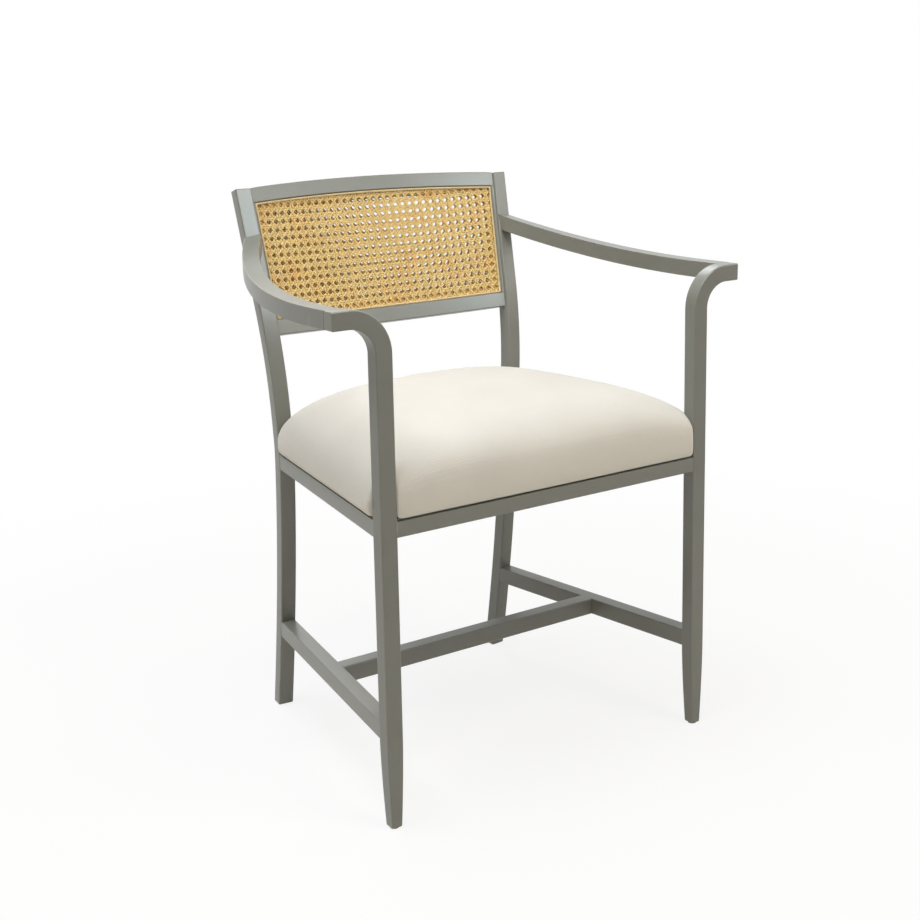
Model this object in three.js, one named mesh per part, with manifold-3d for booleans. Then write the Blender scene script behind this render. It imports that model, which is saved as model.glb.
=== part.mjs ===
// Open armchair in painted wood: curved arms that end in outward scrolls, a raked back with cane on
// both faces, an upholstered seat with a high crown, and an H stretcher under four legs.
// Millimetres, +Z up. The chair faces -Y and is symmetric about the plane X = 0.

import * as THREE from "three";
import { mergeVertices } from "three/addons/utils/BufferGeometryUtils.js";
import Module from "manifold-3d";

const wasm = await Module();
wasm.setup();

// Clearances
const fitGap = 0.3; // between two pieces that seat on each other
const overrun = 6; // how far a cutting shape or a stock end runs past what it cuts
const sideOverrun = 2; // the same for the side bars, whose ends slope to the legs
const jointRoot = 4; // how far a tenon's root is sunk into its own rail

// Overall places, measured from the front faces of the front legs
const frontHalfWidth = 280; // outer face of a front leg at the seat rail
const rearHalfWidth = 224.5; // outer face of a rear leg at the seat rail
const railTop = 437.5;
const railHeight = 26.5;
const railBottom = railTop - railHeight;
const stretcherTop = 154.5;
const stretcherHeight = 26.5;
const stretcherBottom = stretcherTop - stretcherHeight;
const postTopHeight = 832.5;

// Heights above the seat rail, as shares of the height from the rail to the top of the posts
const backRise = postTopHeight - railTop;
const waistShare = 0.171; // the rear leg's most forward point
const bendShare = 0.3673; // where the post's two tangents meet
const backBaseShare = 0.4532; // lower edge of the lower back rail
const scrollShare = 0.695; // top of the scrolls
const armHeelTopShare = 0.8215; // top of the arm at the post

// Foot glides
const glideThickness = 1.5;
const glideRadius = 6.5;
const glidePinRadius = 1.4;
const glidePinLength = 14;

// Front legs and their scrolls
const legWidth = 24.4;
const legDepth = 22.4;
const legSplay = 4.4; // how far the foot stands outside the rail
const footTaperSide = 4.2;
const footTaperFront = 1.3;
const footTaperRear = 4;
const footTaperPower = 1.5;
const footTaperSteps = 4;
const scrollTop = railTop + scrollShare * backRise;
const scrollOuterRadius = 60;
const scrollInnerRadius = scrollOuterRadius - legWidth;
const scrollEnd = 336.6; // half the width across the scroll ends
const scrollSteps = 5;
const scrollCentreHeight = scrollTop - scrollOuterRadius;

// Rear legs and back posts
const postWidth = 24.5;
const postDepth = 22;
const waistDepth = 394.3; // front face of the post at its waist
const toeShare = 0.707; // how far the post's section turns with the side rails
const postToe = toeShare * Math.atan((frontHalfWidth - rearHalfWidth) / (waistDepth - legDepth));
const waistHeight = railTop + waistShare * backRise;
const rearSplay = 57.7; // how far the foot stands behind the waist
const rearBendHeight = 303; // where the lower leg's two tangents meet
const backRake = THREE.MathUtils.degToRad(13);
const postTopHalfWidth = 243.8;
const postBendHeight = railTop + bendShare * backRise;
const postTopBack = (postTopHeight - postBendHeight) * Math.tan(backRake);
const postBendReach = postBendHeight - waistHeight;
const postSteps = 8;

// Seat rails and stretchers
const flushSet = 0.5; // rails and stretchers stand this far inside the legs' faces
const railThickness = 22;
const frontRailThickness = 21.5;
const rearRailThickness = 19;
const rearRailInset = 1.4; // behind the front inner corner of a rear leg
const stretcherThickness = 23.5;
const crossFront = 209;
const crossWidth = 24.3;
const tenonThickness = 7;
const tenonHeight = 16;
const tenonLength = 9;
const sideTenonInset = 8; // from the rail's outer face to the tenon's middle
const frontTenonInset = 8;
const rearTenonInset = 14;

// Arms
const armWidth = 24.4;
const armHeight = 24;
const armTopAtPost = railTop + armHeelTopShare * backRise;
const armDip = 8; // how far the arm's curve is drawn under the scroll's top
const armOverhang = 0.6; // outside the post's corner where the arm starts
const armBow = 13; // how far the arm's curve is drawn outside the scroll's end
const armBowShare = 0.62; // where along the depth it is drawn out
const armForeShare = 0.172; // where along the depth it runs straight again
const armSteps = 14;
const armDowelRadius = 4;
const armDowelLength = 34;
const armDowelInLeg = 15;
const armDowelInPost = 14;
const armHeelReach = 15; // how far the arm's stock runs back into the post
const armHeelShare = 0.55; // where the rear dowel sits in the arm's height

// Back frame: x across, h up the raked plane, d behind its front face
const backThickness = 16;
const backBaseHeight = railTop + backBaseShare * backRise;
const backFaceInset = 3.07; // behind the posts' front corners
const backSag = 22; // how far the middle stands behind the ends
const crestArch = 10.3;
const lowerRailHeight = 24;
const crestHeight = 23;
const crestTop = (postTopHeight - backBaseHeight) / Math.cos(backRake);
const crestBottom = crestTop - crestHeight;
const backOpening = crestBottom - lowerRailHeight;
const backSteps = 16;
const stileFace = 4.5;
const ledge = 11; // ledge behind the edge of the cane
const backTenonThickness = 7;
const backTenonHeight = 14;

// Cane sheets and the beads that hold them
const caneThickness = 2.4;
const beadThickness = 1.9;
const beadWidth = 3;
const rebate = caneThickness + beadThickness + 2 * fitGap;
const caneColumns = 16;
const caneRows = 8;
const caneHoleShare = 0.52; // hole width as a share of the mesh
const caneBorder = 9; // closed border inside the sheet's edge

// Seat
const coverThickness = 2;
const boardThickness = 12;
const seatFrontGap = 1;
const seatRearReach = 9; // onto the rear rail
const seatSideInset = 1.5; // cover inside the outer faces of the rails
const seatTuck = 4; // how far the cover draws in at its lower edge
const seatSideHeight = 10; // height of the fullest line over the rail
const seatCrown = 105.7; // crown above the fullest line
const crownPowerAcross = 3.3;
const crownPowerDeep = 3.56;
const crownColumns = 20;
const crownRows = 18;
const crownCrowding = 2; // crowds the grid's lines towards the edges
const legClearance = 1.2;
const hemWidth = 18;
const dustCoverThickness = 1;
const dustCoverInset = 4;

// Corner blocks and screws
const blockLeg = 46; // length of a block along each rail
const blockHeight = 18;
const blockTopDrop = 5; // top of the block under the rail's top
const screwRadius = 2;
const screwHeadRadius = 4;
const screwHeadHeight = 2.4;
const seatScrewInBoard = 8;
const roundSides = 10;

const paint = { color: 0x989e98, roughness: 0.45, metalness: 0 };
const rattan = { color: 0xdcb96f, roughness: 0.6, metalness: 0 };
const rattanPeel = { color: 0xe6cf9f, roughness: 0.5, metalness: 0 };
const linen = { color: 0xefece4, roughness: 0.95, metalness: 0 };
const foamFinish = { color: 0xf2e3b0, roughness: 1, metalness: 0 };
const plywood = { color: 0xc9a877, roughness: 0.8, metalness: 0 };
const blockWood = { color: 0xd2b78c, roughness: 0.8, metalness: 0 };
const dowelWood = { color: 0xe0c79b, roughness: 0.7, metalness: 0 };
const blackCloth = { color: 0x1b1b1c, roughness: 1, metalness: 0 };
const zincSteel = { color: 0xb9bcc0, roughness: 0.35, metalness: 1 };
const nylon = { color: 0x2a2724, roughness: 0.6, metalness: 0 };

// Solids and meshes

function toSolid(geometry) {
  const bare = geometry.clone();
  bare.deleteAttribute("normal");
  bare.deleteAttribute("uv");
  const merged = mergeVertices(bare, 1e-4);
  return new wasm.Manifold(
    new wasm.Mesh({
      numProp: 3,
      vertProperties: new Float32Array(merged.attributes.position.array),
      triVerts: new Uint32Array(merged.index.array),
    })
  );
}

function toGeometry(solid) {
  const mesh = solid.getMesh();
  const geometry = new THREE.BufferGeometry();
  geometry.setAttribute("position", new THREE.BufferAttribute(mesh.vertProperties, 3));
  geometry.setIndex(new THREE.BufferAttribute(mesh.triVerts, 1));
  return geometry;
}

function cut(geometry, ...tools) {
  return toGeometry(tools.reduce((solid, tool) => solid.subtract(toSolid(tool)), toSolid(geometry)));
}

function join(geometry, ...others) {
  return toGeometry(others.reduce((solid, other) => solid.add(toSolid(other)), toSolid(geometry)));
}

// Moves every vertex of a geometry to where the function puts it.
function warp(geometry, place) {
  const positions = geometry.attributes.position;
  const point = new THREE.Vector3();
  for (let i = 0; i < positions.count; i += 1) {
    point.fromBufferAttribute(positions, i);
    place(point);
    positions.setXYZ(i, point.x, point.y, point.z);
  }
  return geometry;
}

// The same piece for the other side of the chair.
function mirrored(geometry) {
  const copy = geometry.index ? geometry.toNonIndexed() : geometry.clone();
  const positions = copy.attributes.position;
  const flipped = new Float32Array(positions.count * 3);
  for (let i = 0; i < positions.count; i += 3) {
    [i, i + 2, i + 1].forEach((from, k) => {
      flipped[(i + k) * 3] = -positions.getX(from);
      flipped[(i + k) * 3 + 1] = positions.getY(from);
      flipped[(i + k) * 3 + 2] = positions.getZ(from);
    });
  }
  const result = new THREE.BufferGeometry();
  result.setAttribute("position", new THREE.BufferAttribute(flipped, 3));
  return mergeVertices(result, 1e-4);
}

// A closed bar through a list of sections. Each section is a ring of points, all alike in number,
// that run counterclockwise seen from the bar's far end.
function loft(rings) {
  const sides = rings[0].length;
  const points = rings.flat();
  const faces = [];
  for (let r = 0; r + 1 < rings.length; r += 1) {
    for (let s = 0; s < sides; s += 1) {
      const a = r * sides + s;
      const b = r * sides + ((s + 1) % sides);
      faces.push(a, b, b + sides, a, b + sides, a + sides);
    }
  }
  const last = (rings.length - 1) * sides;
  for (let s = 1; s + 1 < sides; s += 1) {
    faces.push(0, s + 1, s, last, last + s, last + s + 1);
  }
  const geometry = new THREE.BufferGeometry().setFromPoints(points);
  geometry.setIndex(faces);
  return geometry;
}

// A vertical prism over a plan outline, given as [x, y] pairs.
function prism(outline, bottom, top) {
  const shape = new THREE.Shape(outline.map(([x, y]) => new THREE.Vector2(x, y)));
  const geometry = new THREE.ExtrudeGeometry(shape, { depth: top - bottom, bevelEnabled: false });
  return geometry.translate(0, 0, bottom);
}

// A round pin between two points, with an optional head at its start.
function pin(start, end, radius, head) {
  const length = start.distanceTo(end);
  const profile = [new THREE.Vector2(0, 0)];
  if (head) {
    profile.push(new THREE.Vector2(head.radius, 0), new THREE.Vector2(head.radius, head.height));
    profile.push(new THREE.Vector2(radius, head.height));
  } else {
    profile.push(new THREE.Vector2(radius, 0));
  }
  profile.push(new THREE.Vector2(radius, length), new THREE.Vector2(0, length));
  const geometry = new THREE.LatheGeometry(profile, roundSides);
  const turn = new THREE.Quaternion().setFromUnitVectors(
    new THREE.Vector3(0, 1, 0),
    end.clone().sub(start).normalize()
  );
  return geometry.applyQuaternion(turn).translate(start.x, start.y, start.z);
}

// A square tenon that starts inside its rail and runs along a direction in plan.
function tenon(root, direction, length, thickness, height, grow = 0) {
  const whole = length + jointRoot + grow;
  const geometry = new THREE.BoxGeometry(whole, thickness + 2 * grow, height + 2 * grow);
  geometry.translate(whole / 2 - jointRoot, 0, 0);
  geometry.rotateZ(Math.atan2(direction.y, direction.x));
  return geometry.translate(root.x, root.y, root.z);
}

// Front legs

// Outer face of a front leg at a height: the leg leans in slightly from foot to scroll.
function frontOuter(height) {
  return frontHalfWidth + (legSplay * (railBottom - height)) / railBottom;
}

const scrollCentre = frontOuter(scrollCentreHeight) - legWidth + scrollOuterRadius;

function frontLegStock(grow = 0) {
  const shape = new THREE.Shape();
  const side = (height) => {
    const share = Math.max(0, 1 - height / stretcherBottom) ** footTaperPower;
    return footTaperSide * share;
  };
  const heights = [];
  for (let i = 0; i <= footTaperSteps; i += 1) {
    heights.push(glideThickness + ((stretcherBottom - glideThickness) * i) / footTaperSteps);
  }
  const inner = heights.map((z) => [frontOuter(z) - legWidth + side(z) - grow, z]);
  const outer = heights.map((z) => [frontOuter(z) - side(z) + grow, z]).reverse();
  shape.moveTo(...inner[0]);
  inner.slice(1).forEach((point) => shape.lineTo(...point));
  shape.absarc(scrollCentre, scrollCentreHeight, scrollOuterRadius + grow, Math.PI, Math.PI / 2, true);
  shape.lineTo(scrollEnd + grow, scrollTop + grow);
  shape.lineTo(scrollEnd + grow, scrollTop - legWidth - grow);
  shape.absarc(scrollCentre, scrollCentreHeight, scrollInnerRadius - grow, Math.PI / 2, Math.PI, false);
  outer.forEach((point) => shape.lineTo(...point));
  const geometry = new THREE.ExtrudeGeometry(shape, {
    depth: legDepth + 2 * grow,
    bevelEnabled: false,
    curveSegments: scrollSteps,
  });
  geometry.rotateX(Math.PI / 2).translate(0, legDepth + grow, 0);
  return warp(geometry, (p) => {
    const share = Math.max(0, 1 - p.z / stretcherBottom) ** footTaperPower;
    p.y += p.y > legDepth / 2 ? -footTaperRear * share : footTaperFront * share;
  });
}

// Rear legs

// Outer face of a rear leg at a height: upright to the rail, then leaning out to the top.
function rearOuter(height) {
  const share = Math.max(0, (height - railTop) / (postTopHeight - railTop));
  return rearHalfWidth + (postTopHalfWidth - rearHalfWidth) * share;
}

// The front face of a rear leg in side view, [depth, height] with its direction, from foot to top.
function rearLegLine() {
  const foot = new THREE.Vector2(waistDepth + rearSplay, 0);
  const waist = new THREE.Vector2(waistDepth, waistHeight);
  const bend = new THREE.Vector2(waistDepth, postBendHeight);
  const along = new THREE.Vector2(Math.sin(backRake), Math.cos(backRake));
  const bent = bend.clone().addScaledVector(along, postBendReach);
  const lower = new THREE.QuadraticBezierCurve(foot, new THREE.Vector2(waistDepth, rearBendHeight), waist);
  const upper = new THREE.QuadraticBezierCurve(waist, bend, bent);
  const line = [];
  for (let i = 0; i <= postSteps; i += 1) {
    line.push({ point: lower.getPoint(i / postSteps), along: lower.getTangent(i / postSteps) });
  }
  for (let i = 1; i <= postSteps; i += 1) {
    line.push({ point: upper.getPoint(i / postSteps), along: upper.getTangent(i / postSteps) });
  }
  line.push({ point: new THREE.Vector2(waistDepth + postTopBack, postTopHeight), along });
  return line;
}

// Stock of a rear leg. Spread widens it on every side but the front, for trimming the arm's end.
function rearLegStock(grow = 0, spread = 0) {
  const across = new THREE.Vector2(Math.cos(postToe), Math.sin(postToe));
  const rings = rearLegLine().map(({ point, along }, i, line) => {
    const behind = new THREE.Vector2(along.y, -along.x);
    const stand = i === 0 ? glideThickness : 0;
    const raise = i === line.length - 1 ? grow : 0;
    const corner = (depth, width) => {
      const reach = depth < postDepth / 2 ? depth - grow : depth + grow + spread;
      const wide = width < postWidth / 2 ? width - grow - spread : width + grow + spread;
      let y = point.x + behind.x * reach + along.x * raise;
      let z = point.y + behind.y * reach + along.y * raise;
      if (i === 0) {
        y += (along.x / along.y) * (stand - z);
        z = stand;
      }
      const x = rearOuter(point.y);
      return new THREE.Vector3(x - wide * across.x - reach * across.y, y - wide * across.y, z);
    };
    return [corner(0, 0), corner(postDepth, 0), corner(postDepth, postWidth), corner(0, postWidth)];
  });
  return loft(rings);
}

// Front and outer corner of a rear leg at a height.
function rearFront(height) {
  const line = rearLegLine().map(({ point }) => point);
  const next = Math.max(1, line.findIndex((point) => point.y >= height));
  const low = line[next - 1];
  const high = line[next];
  return THREE.MathUtils.mapLinear(height, low.y, high.y, low.x, high.x);
}

// Plan line of a side piece along the outer faces of the legs at a height.
function sideLine(height) {
  const start = new THREE.Vector2(frontOuter(height), legDepth);
  const end = new THREE.Vector2(rearOuter(height), rearFront(height));
  const along = end.clone().sub(start).normalize();
  return { start, end, along, inward: new THREE.Vector2(-along.y, along.x) };
}

// A straight side bar, long enough to run into both legs.
function sideStock(height, thickness, bottom, top, grow = 0) {
  const { start, end, along, inward } = sideLine(height);
  const from = start.clone().addScaledVector(along, -sideOverrun);
  const to = end.clone().addScaledVector(along, sideOverrun);
  const outline = [
    [from, flushSet - grow],
    [to, flushSet - grow],
    [to, flushSet + thickness + grow],
    [from, flushSet + thickness + grow],
  ].map(([place, reach]) => place.clone().addScaledVector(inward, reach));
  return prism(outline.map((p) => [p.x, p.y]), bottom - grow, top + grow);
}

const railMiddle = (railTop + railBottom) / 2;
const stretcherMiddle = (stretcherTop + stretcherBottom) / 2;
const grownFrontLeg = frontLegStock(fitGap);
const grownRearLeg = rearLegStock(fitGap);
const armEndCutter = rearLegStock(fitGap, postWidth);

// Tenons of the right-hand joints, each as a function of its growth for the mortise.
function sideTenons(height, inset) {
  const { start, end, along, inward } = sideLine(height);
  const make = (place, direction) => (grow = 0) => {
    const root = place.clone().addScaledVector(inward, flushSet + inset);
    return tenon(
      new THREE.Vector3(root.x, root.y, height),
      direction,
      tenonLength,
      tenonThickness,
      tenonHeight,
      grow
    );
  };
  return { front: make(start, along.clone().negate()), rear: make(end, along) };
}

const railTenons = sideTenons(railMiddle, sideTenonInset);
const stretcherTenons = sideTenons(stretcherMiddle, stretcherThickness / 2);
const toRight = new THREE.Vector2(1, 0);
const rearRailFront = rearFront(railMiddle) - postWidth * Math.sin(postToe) + rearRailInset;

// Half width between the inner faces of the side stretchers where the cross stretcher meets them.
const crossMiddle = crossFront + crossWidth / 2;
const crossHalf = innerFace(stretcherMiddle, stretcherThickness, crossMiddle);

function innerFace(height, thickness, depth) {
  const { start, along, inward } = sideLine(height);
  const face = start.clone().addScaledVector(inward, flushSet + thickness);
  return face.x + ((depth - face.y) * along.x) / along.y;
}

// A tenon across the chair into the right-hand side.
function crosswise(x, y, height, grow) {
  const root = new THREE.Vector3(x, y, height);
  return tenon(root, toRight, tenonLength, tenonThickness, tenonHeight, grow);
}

function frontRailTenon(grow = 0) {
  return crosswise(frontOuter(railMiddle) - legWidth, frontTenonInset, railMiddle, grow);
}

function rearRailTenon(grow = 0) {
  const half = rearOuter(railMiddle) - postWidth;
  return crosswise(half, rearRailFront + rearTenonInset, railMiddle, grow);
}

function crossTenon(grow = 0) {
  return crosswise(crossHalf, crossMiddle, stretcherMiddle, grow);
}

// A bar across the chair between two mirrored pieces, with a tenon at each end.
function crossBar(half, front, thickness, bottom, top, ends, makeTenon) {
  const outline = [
    [-half, front],
    [half, front],
    [half, front + thickness],
    [-half, front + thickness],
  ];
  const body = cut(prism(outline, bottom, top), ends, mirrored(ends));
  return join(body, makeTenon(), mirrored(makeTenon()));
}

// Back frame

// Half width between the posts at a height up the raked plane.
function backHalf(h) {
  const height = backBaseHeight + h * Math.cos(backRake);
  return rearOuter(height) - postWidth * Math.cos(postToe);
}

const backMiddleHalf = backHalf(lowerRailHeight + backOpening / 2);
const backBaseDepth =
  waistDepth + (backBaseHeight - postBendHeight) * Math.tan(backRake) + backFaceInset;

// Puts a point given across, behind and up the back's plane into the chair.
function ontoBack(p) {
  const share = THREE.MathUtils.clamp((p.z - lowerRailHeight) / backOpening, 0, 1);
  const x = (p.x * backHalf(p.z)) / backMiddleHalf;
  const fall = 1 - (x / backMiddleHalf) ** 2;
  const h = p.z + crestArch * fall * share;
  const d = p.y + backSag * fall;
  p.set(
    x,
    backBaseDepth + h * Math.sin(backRake) + d * Math.cos(backRake),
    backBaseHeight + h * Math.cos(backRake) - d * Math.sin(backRake)
  );
}

// A bar across the back with a section given as [depth, height] pairs.
function backBar(section, from, to, steps) {
  const shape = new THREE.Shape(section.map(([d, h]) => new THREE.Vector2(d, h)));
  const geometry = new THREE.ExtrudeGeometry(shape, { depth: to - from, steps, bevelEnabled: false });
  const basis = new THREE.Matrix4().makeBasis(
    new THREE.Vector3(0, 1, 0),
    new THREE.Vector3(0, 0, 1),
    new THREE.Vector3(1, 0, 0)
  );
  geometry.applyMatrix4(basis).translate(from, 0, 0);
  return warp(geometry, ontoBack);
}

const stileInner = backMiddleHalf - stileFace;
const tongue = [rebate, backThickness - rebate];

function backRail(bottom, top, ledgeFrom, ledgeTo) {
  const half = backMiddleHalf + overrun;
  const face = [
    [0, bottom],
    [backThickness, bottom],
    [backThickness, top],
    [0, top],
  ];
  const inner = [
    [tongue[0], ledgeFrom],
    [tongue[1], ledgeFrom],
    [tongue[1], ledgeTo],
    [tongue[0], ledgeTo],
  ];
  const stock = join(backBar(face, -half, half, backSteps), backBar(inner, -half, half, backSteps));
  return cut(stock, grownRearLeg, mirrored(grownRearLeg));
}

function backTenon(bottom, top, grow = 0) {
  const middle = (bottom + top) / 2;
  const section = [
    [backThickness / 2 - backTenonThickness / 2 - grow, middle - backTenonHeight / 2 - grow],
    [backThickness / 2 + backTenonThickness / 2 + grow, middle - backTenonHeight / 2 - grow],
    [backThickness / 2 + backTenonThickness / 2 + grow, middle + backTenonHeight / 2 + grow],
    [backThickness / 2 - backTenonThickness / 2 - grow, middle + backTenonHeight / 2 + grow],
  ];
  return backBar(section, backMiddleHalf - jointRoot, backMiddleHalf + tenonLength + grow, 1);
}

function withTenons(rail, bottom, top) {
  const right = backTenon(bottom, top);
  return join(rail, right, mirrored(right));
}

// A narrow stile between the rails, with the ledge that backs the cane's edge.
function backStile() {
  const box = (from, to, front, rear, bottom, top) =>
    backBar(
      [
        [front, bottom],
        [rear, bottom],
        [rear, top],
        [front, top],
      ],
      from,
      to,
      1
    );
  const bottom = lowerRailHeight + fitGap;
  const top = crestBottom - fitGap;
  const outer = backMiddleHalf + overrun;
  const face = box(stileInner, outer, 0, backThickness, bottom, top);
  const inner = box(
    stileInner - ledge,
    outer,
    tongue[0],
    tongue[1],
    bottom + ledge,
    top - ledge
  );
  const clearing = box(stileInner - ledge - overrun, outer + overrun, tongue[0] - fitGap,
    tongue[1] + fitGap, bottom - overrun, bottom + ledge);
  const upperClearing = box(stileInner - ledge - overrun, outer + overrun, tongue[0] - fitGap,
    tongue[1] + fitGap, top - ledge, top + overrun);
  return cut(join(face, inner), clearing, upperClearing, grownRearLeg);
}

// A sheet of cane with square gaps, between two depths.
function caneSheet(front, rear) {
  const half = stileInner - fitGap;
  const bottom = lowerRailHeight + fitGap;
  const top = crestBottom - fitGap;
  const lines = (low, high, count) => {
    const mesh = (high - low) / count;
    const values = [];
    for (let i = 0; i < count; i += 1) {
      const start = low + (i + (1 - caneHoleShare) / 2) * mesh;
      values.push(start, start + caneHoleShare * mesh);
    }
    return values;
  };
  const xs = [-half, ...lines(-half + caneBorder, half - caneBorder, caneColumns), half];
  const hs = [bottom, ...lines(bottom + caneBorder, top - caneBorder, caneRows), top];
  const across = xs.length;
  const layer = across * hs.length;
  const points = [];
  [front, rear].forEach((d) => hs.forEach((h) => xs.forEach((x) => points.push(new THREE.Vector3(x, d, h)))));
  const faces = [];
  const quad = (a, b, c, d) => faces.push(a, b, c, a, c, d);
  const isGap = (i, j) => i % 2 === 1 && j % 2 === 1 && i > 0 && j > 0 && i < across - 2 && j < hs.length - 2;
  const solidCell = (i, j) => i >= 0 && j >= 0 && i < across - 1 && j < hs.length - 1 && !isGap(i, j);
  for (let j = 0; j < hs.length - 1; j += 1) {
    for (let i = 0; i < across - 1; i += 1) {
      if (!solidCell(i, j)) continue;
      const a = j * across + i;
      const b = a + 1;
      const c = b + across;
      const d = a + across;
      quad(a, b, c, d);
      quad(d + layer, c + layer, b + layer, a + layer);
      if (!solidCell(i, j - 1)) quad(b, a, a + layer, b + layer);
      if (!solidCell(i, j + 1)) quad(d, c, c + layer, d + layer);
      if (!solidCell(i - 1, j)) quad(a, d, d + layer, a + layer);
      if (!solidCell(i + 1, j)) quad(c, b, b + layer, c + layer);
    }
  }
  const geometry = new THREE.BufferGeometry().setFromPoints(points);
  geometry.setIndex(faces);
  return warp(geometry, ontoBack);
}

// The bead round the edge of a sheet: two long strips joined to two short ones.
function caneBead(front, rear) {
  const half = stileInner - fitGap;
  const bottom = lowerRailHeight + fitGap;
  const top = crestBottom - fitGap;
  const strip = (from, to, low, high, steps) =>
    backBar(
      [
        [front, low],
        [rear, low],
        [rear, high],
        [front, high],
      ],
      from,
      to,
      steps
    );
  return join(
    strip(-half, half, bottom, bottom + beadWidth, backSteps),
    strip(-half, half, top - beadWidth, top, backSteps),
    strip(-half, -half + beadWidth, bottom, top, 1),
    strip(half - beadWidth, half, bottom, top, 1)
  );
}

// Arms

const armStart = new THREE.Vector2(rearOuter(armTopAtPost) + armOverhang, rearFront(armTopAtPost));
const armDrawn = new THREE.Vector2(scrollEnd + armBow, armStart.y * armBowShare);
const armPlan = new THREE.CubicBezierCurve(
  armStart,
  armDrawn,
  new THREE.Vector2(scrollEnd, armStart.y * armForeShare),
  new THREE.Vector2(scrollEnd, legDepth + fitGap)
);
const armLevel = new THREE.CubicBezierCurve(
  new THREE.Vector2(0, armTopAtPost),
  new THREE.Vector2(0, scrollTop - armDip),
  new THREE.Vector2(0, scrollTop),
  new THREE.Vector2(0, scrollTop)
);

// The arm's length, with a first section inside the post so that the post's face trims it.
function armStock() {
  const innermost = rearOuter(armTopAtPost) - postWidth * Math.cos(postToe) + fitGap;
  const rings = [];
  for (let i = -1; i <= armSteps; i += 1) {
    const t = Math.max(0, i / armSteps);
    const plan = armPlan.getPoint(t);
    const along = armPlan.getTangent(t);
    let top = armLevel.getPoint(t).y;
    if (i < 0) {
      plan.addScaledVector(along, -armHeelReach);
      top += ((armTopAtPost - scrollTop + armDip) * armHeelReach) / armStart.distanceTo(armDrawn);
    }
    const inner = plan.clone().addScaledVector(new THREE.Vector2(along.y, -along.x), armWidth);
    inner.x = Math.max(inner.x, innermost);
    const bottom = top - armHeight;
    rings.push([
      new THREE.Vector3(plan.x, plan.y, top),
      new THREE.Vector3(inner.x, inner.y, top),
      new THREE.Vector3(inner.x, inner.y, bottom),
      new THREE.Vector3(plan.x, plan.y, bottom),
    ]);
  }
  return loft(rings);
}

const armEnd = new THREE.Vector3(scrollEnd - armWidth / 2, legDepth, scrollTop - armHeight / 2);
const armHeel = new THREE.Vector3(
  armStart.x - armWidth / 2,
  armStart.y,
  armTopAtPost - armHeight * armHeelShare
);
const heelPlan = armPlan.getTangent(0);
const heelAlong = new THREE.Vector3(heelPlan.x, heelPlan.y, 0).normalize();

function armDowels(grow = 0) {
  const front = pin(
    armEnd.clone().add(new THREE.Vector3(0, -armDowelInLeg - grow, 0)),
    armEnd.clone().add(new THREE.Vector3(0, armDowelLength - armDowelInLeg + grow, 0)),
    armDowelRadius + grow
  );
  const rear = pin(
    armHeel.clone().addScaledVector(heelAlong, -armDowelInPost - grow),
    armHeel.clone().addScaledVector(heelAlong, armDowelLength - armDowelInPost + grow),
    armDowelRadius + grow
  );
  return [front, rear];
}

// Seat

const seatRearDepth = rearRailFront + seatRearReach;

function seatHalf(depth) {
  const { start, along } = sideLine(railMiddle);
  return start.x + ((depth - start.y) * along.x) / along.y;
}

// Plan outline of the seat drawn in by an amount, without the leg notches.
function seatPlan(inset) {
  const front = seatFrontGap + inset;
  const rear = seatRearDepth - inset;
  const side = seatSideInset + inset;
  return [
    [side - seatHalf(front), front],
    [seatHalf(front) - side, front],
    [seatHalf(rear) - side, rear],
    [side - seatHalf(rear), rear],
  ];
}

// Plan outline of the cloth under the rails.
function dustPlan() {
  const front = flushSet + dustCoverInset;
  const rear = rearRailFront + rearRailThickness - dustCoverInset;
  const side = flushSet + dustCoverInset;
  return [
    [side - seatHalf(front), front],
    [seatHalf(front) - side, front],
    [seatHalf(rear) - side, rear],
    [side - seatHalf(rear), rear],
  ];
}

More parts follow.
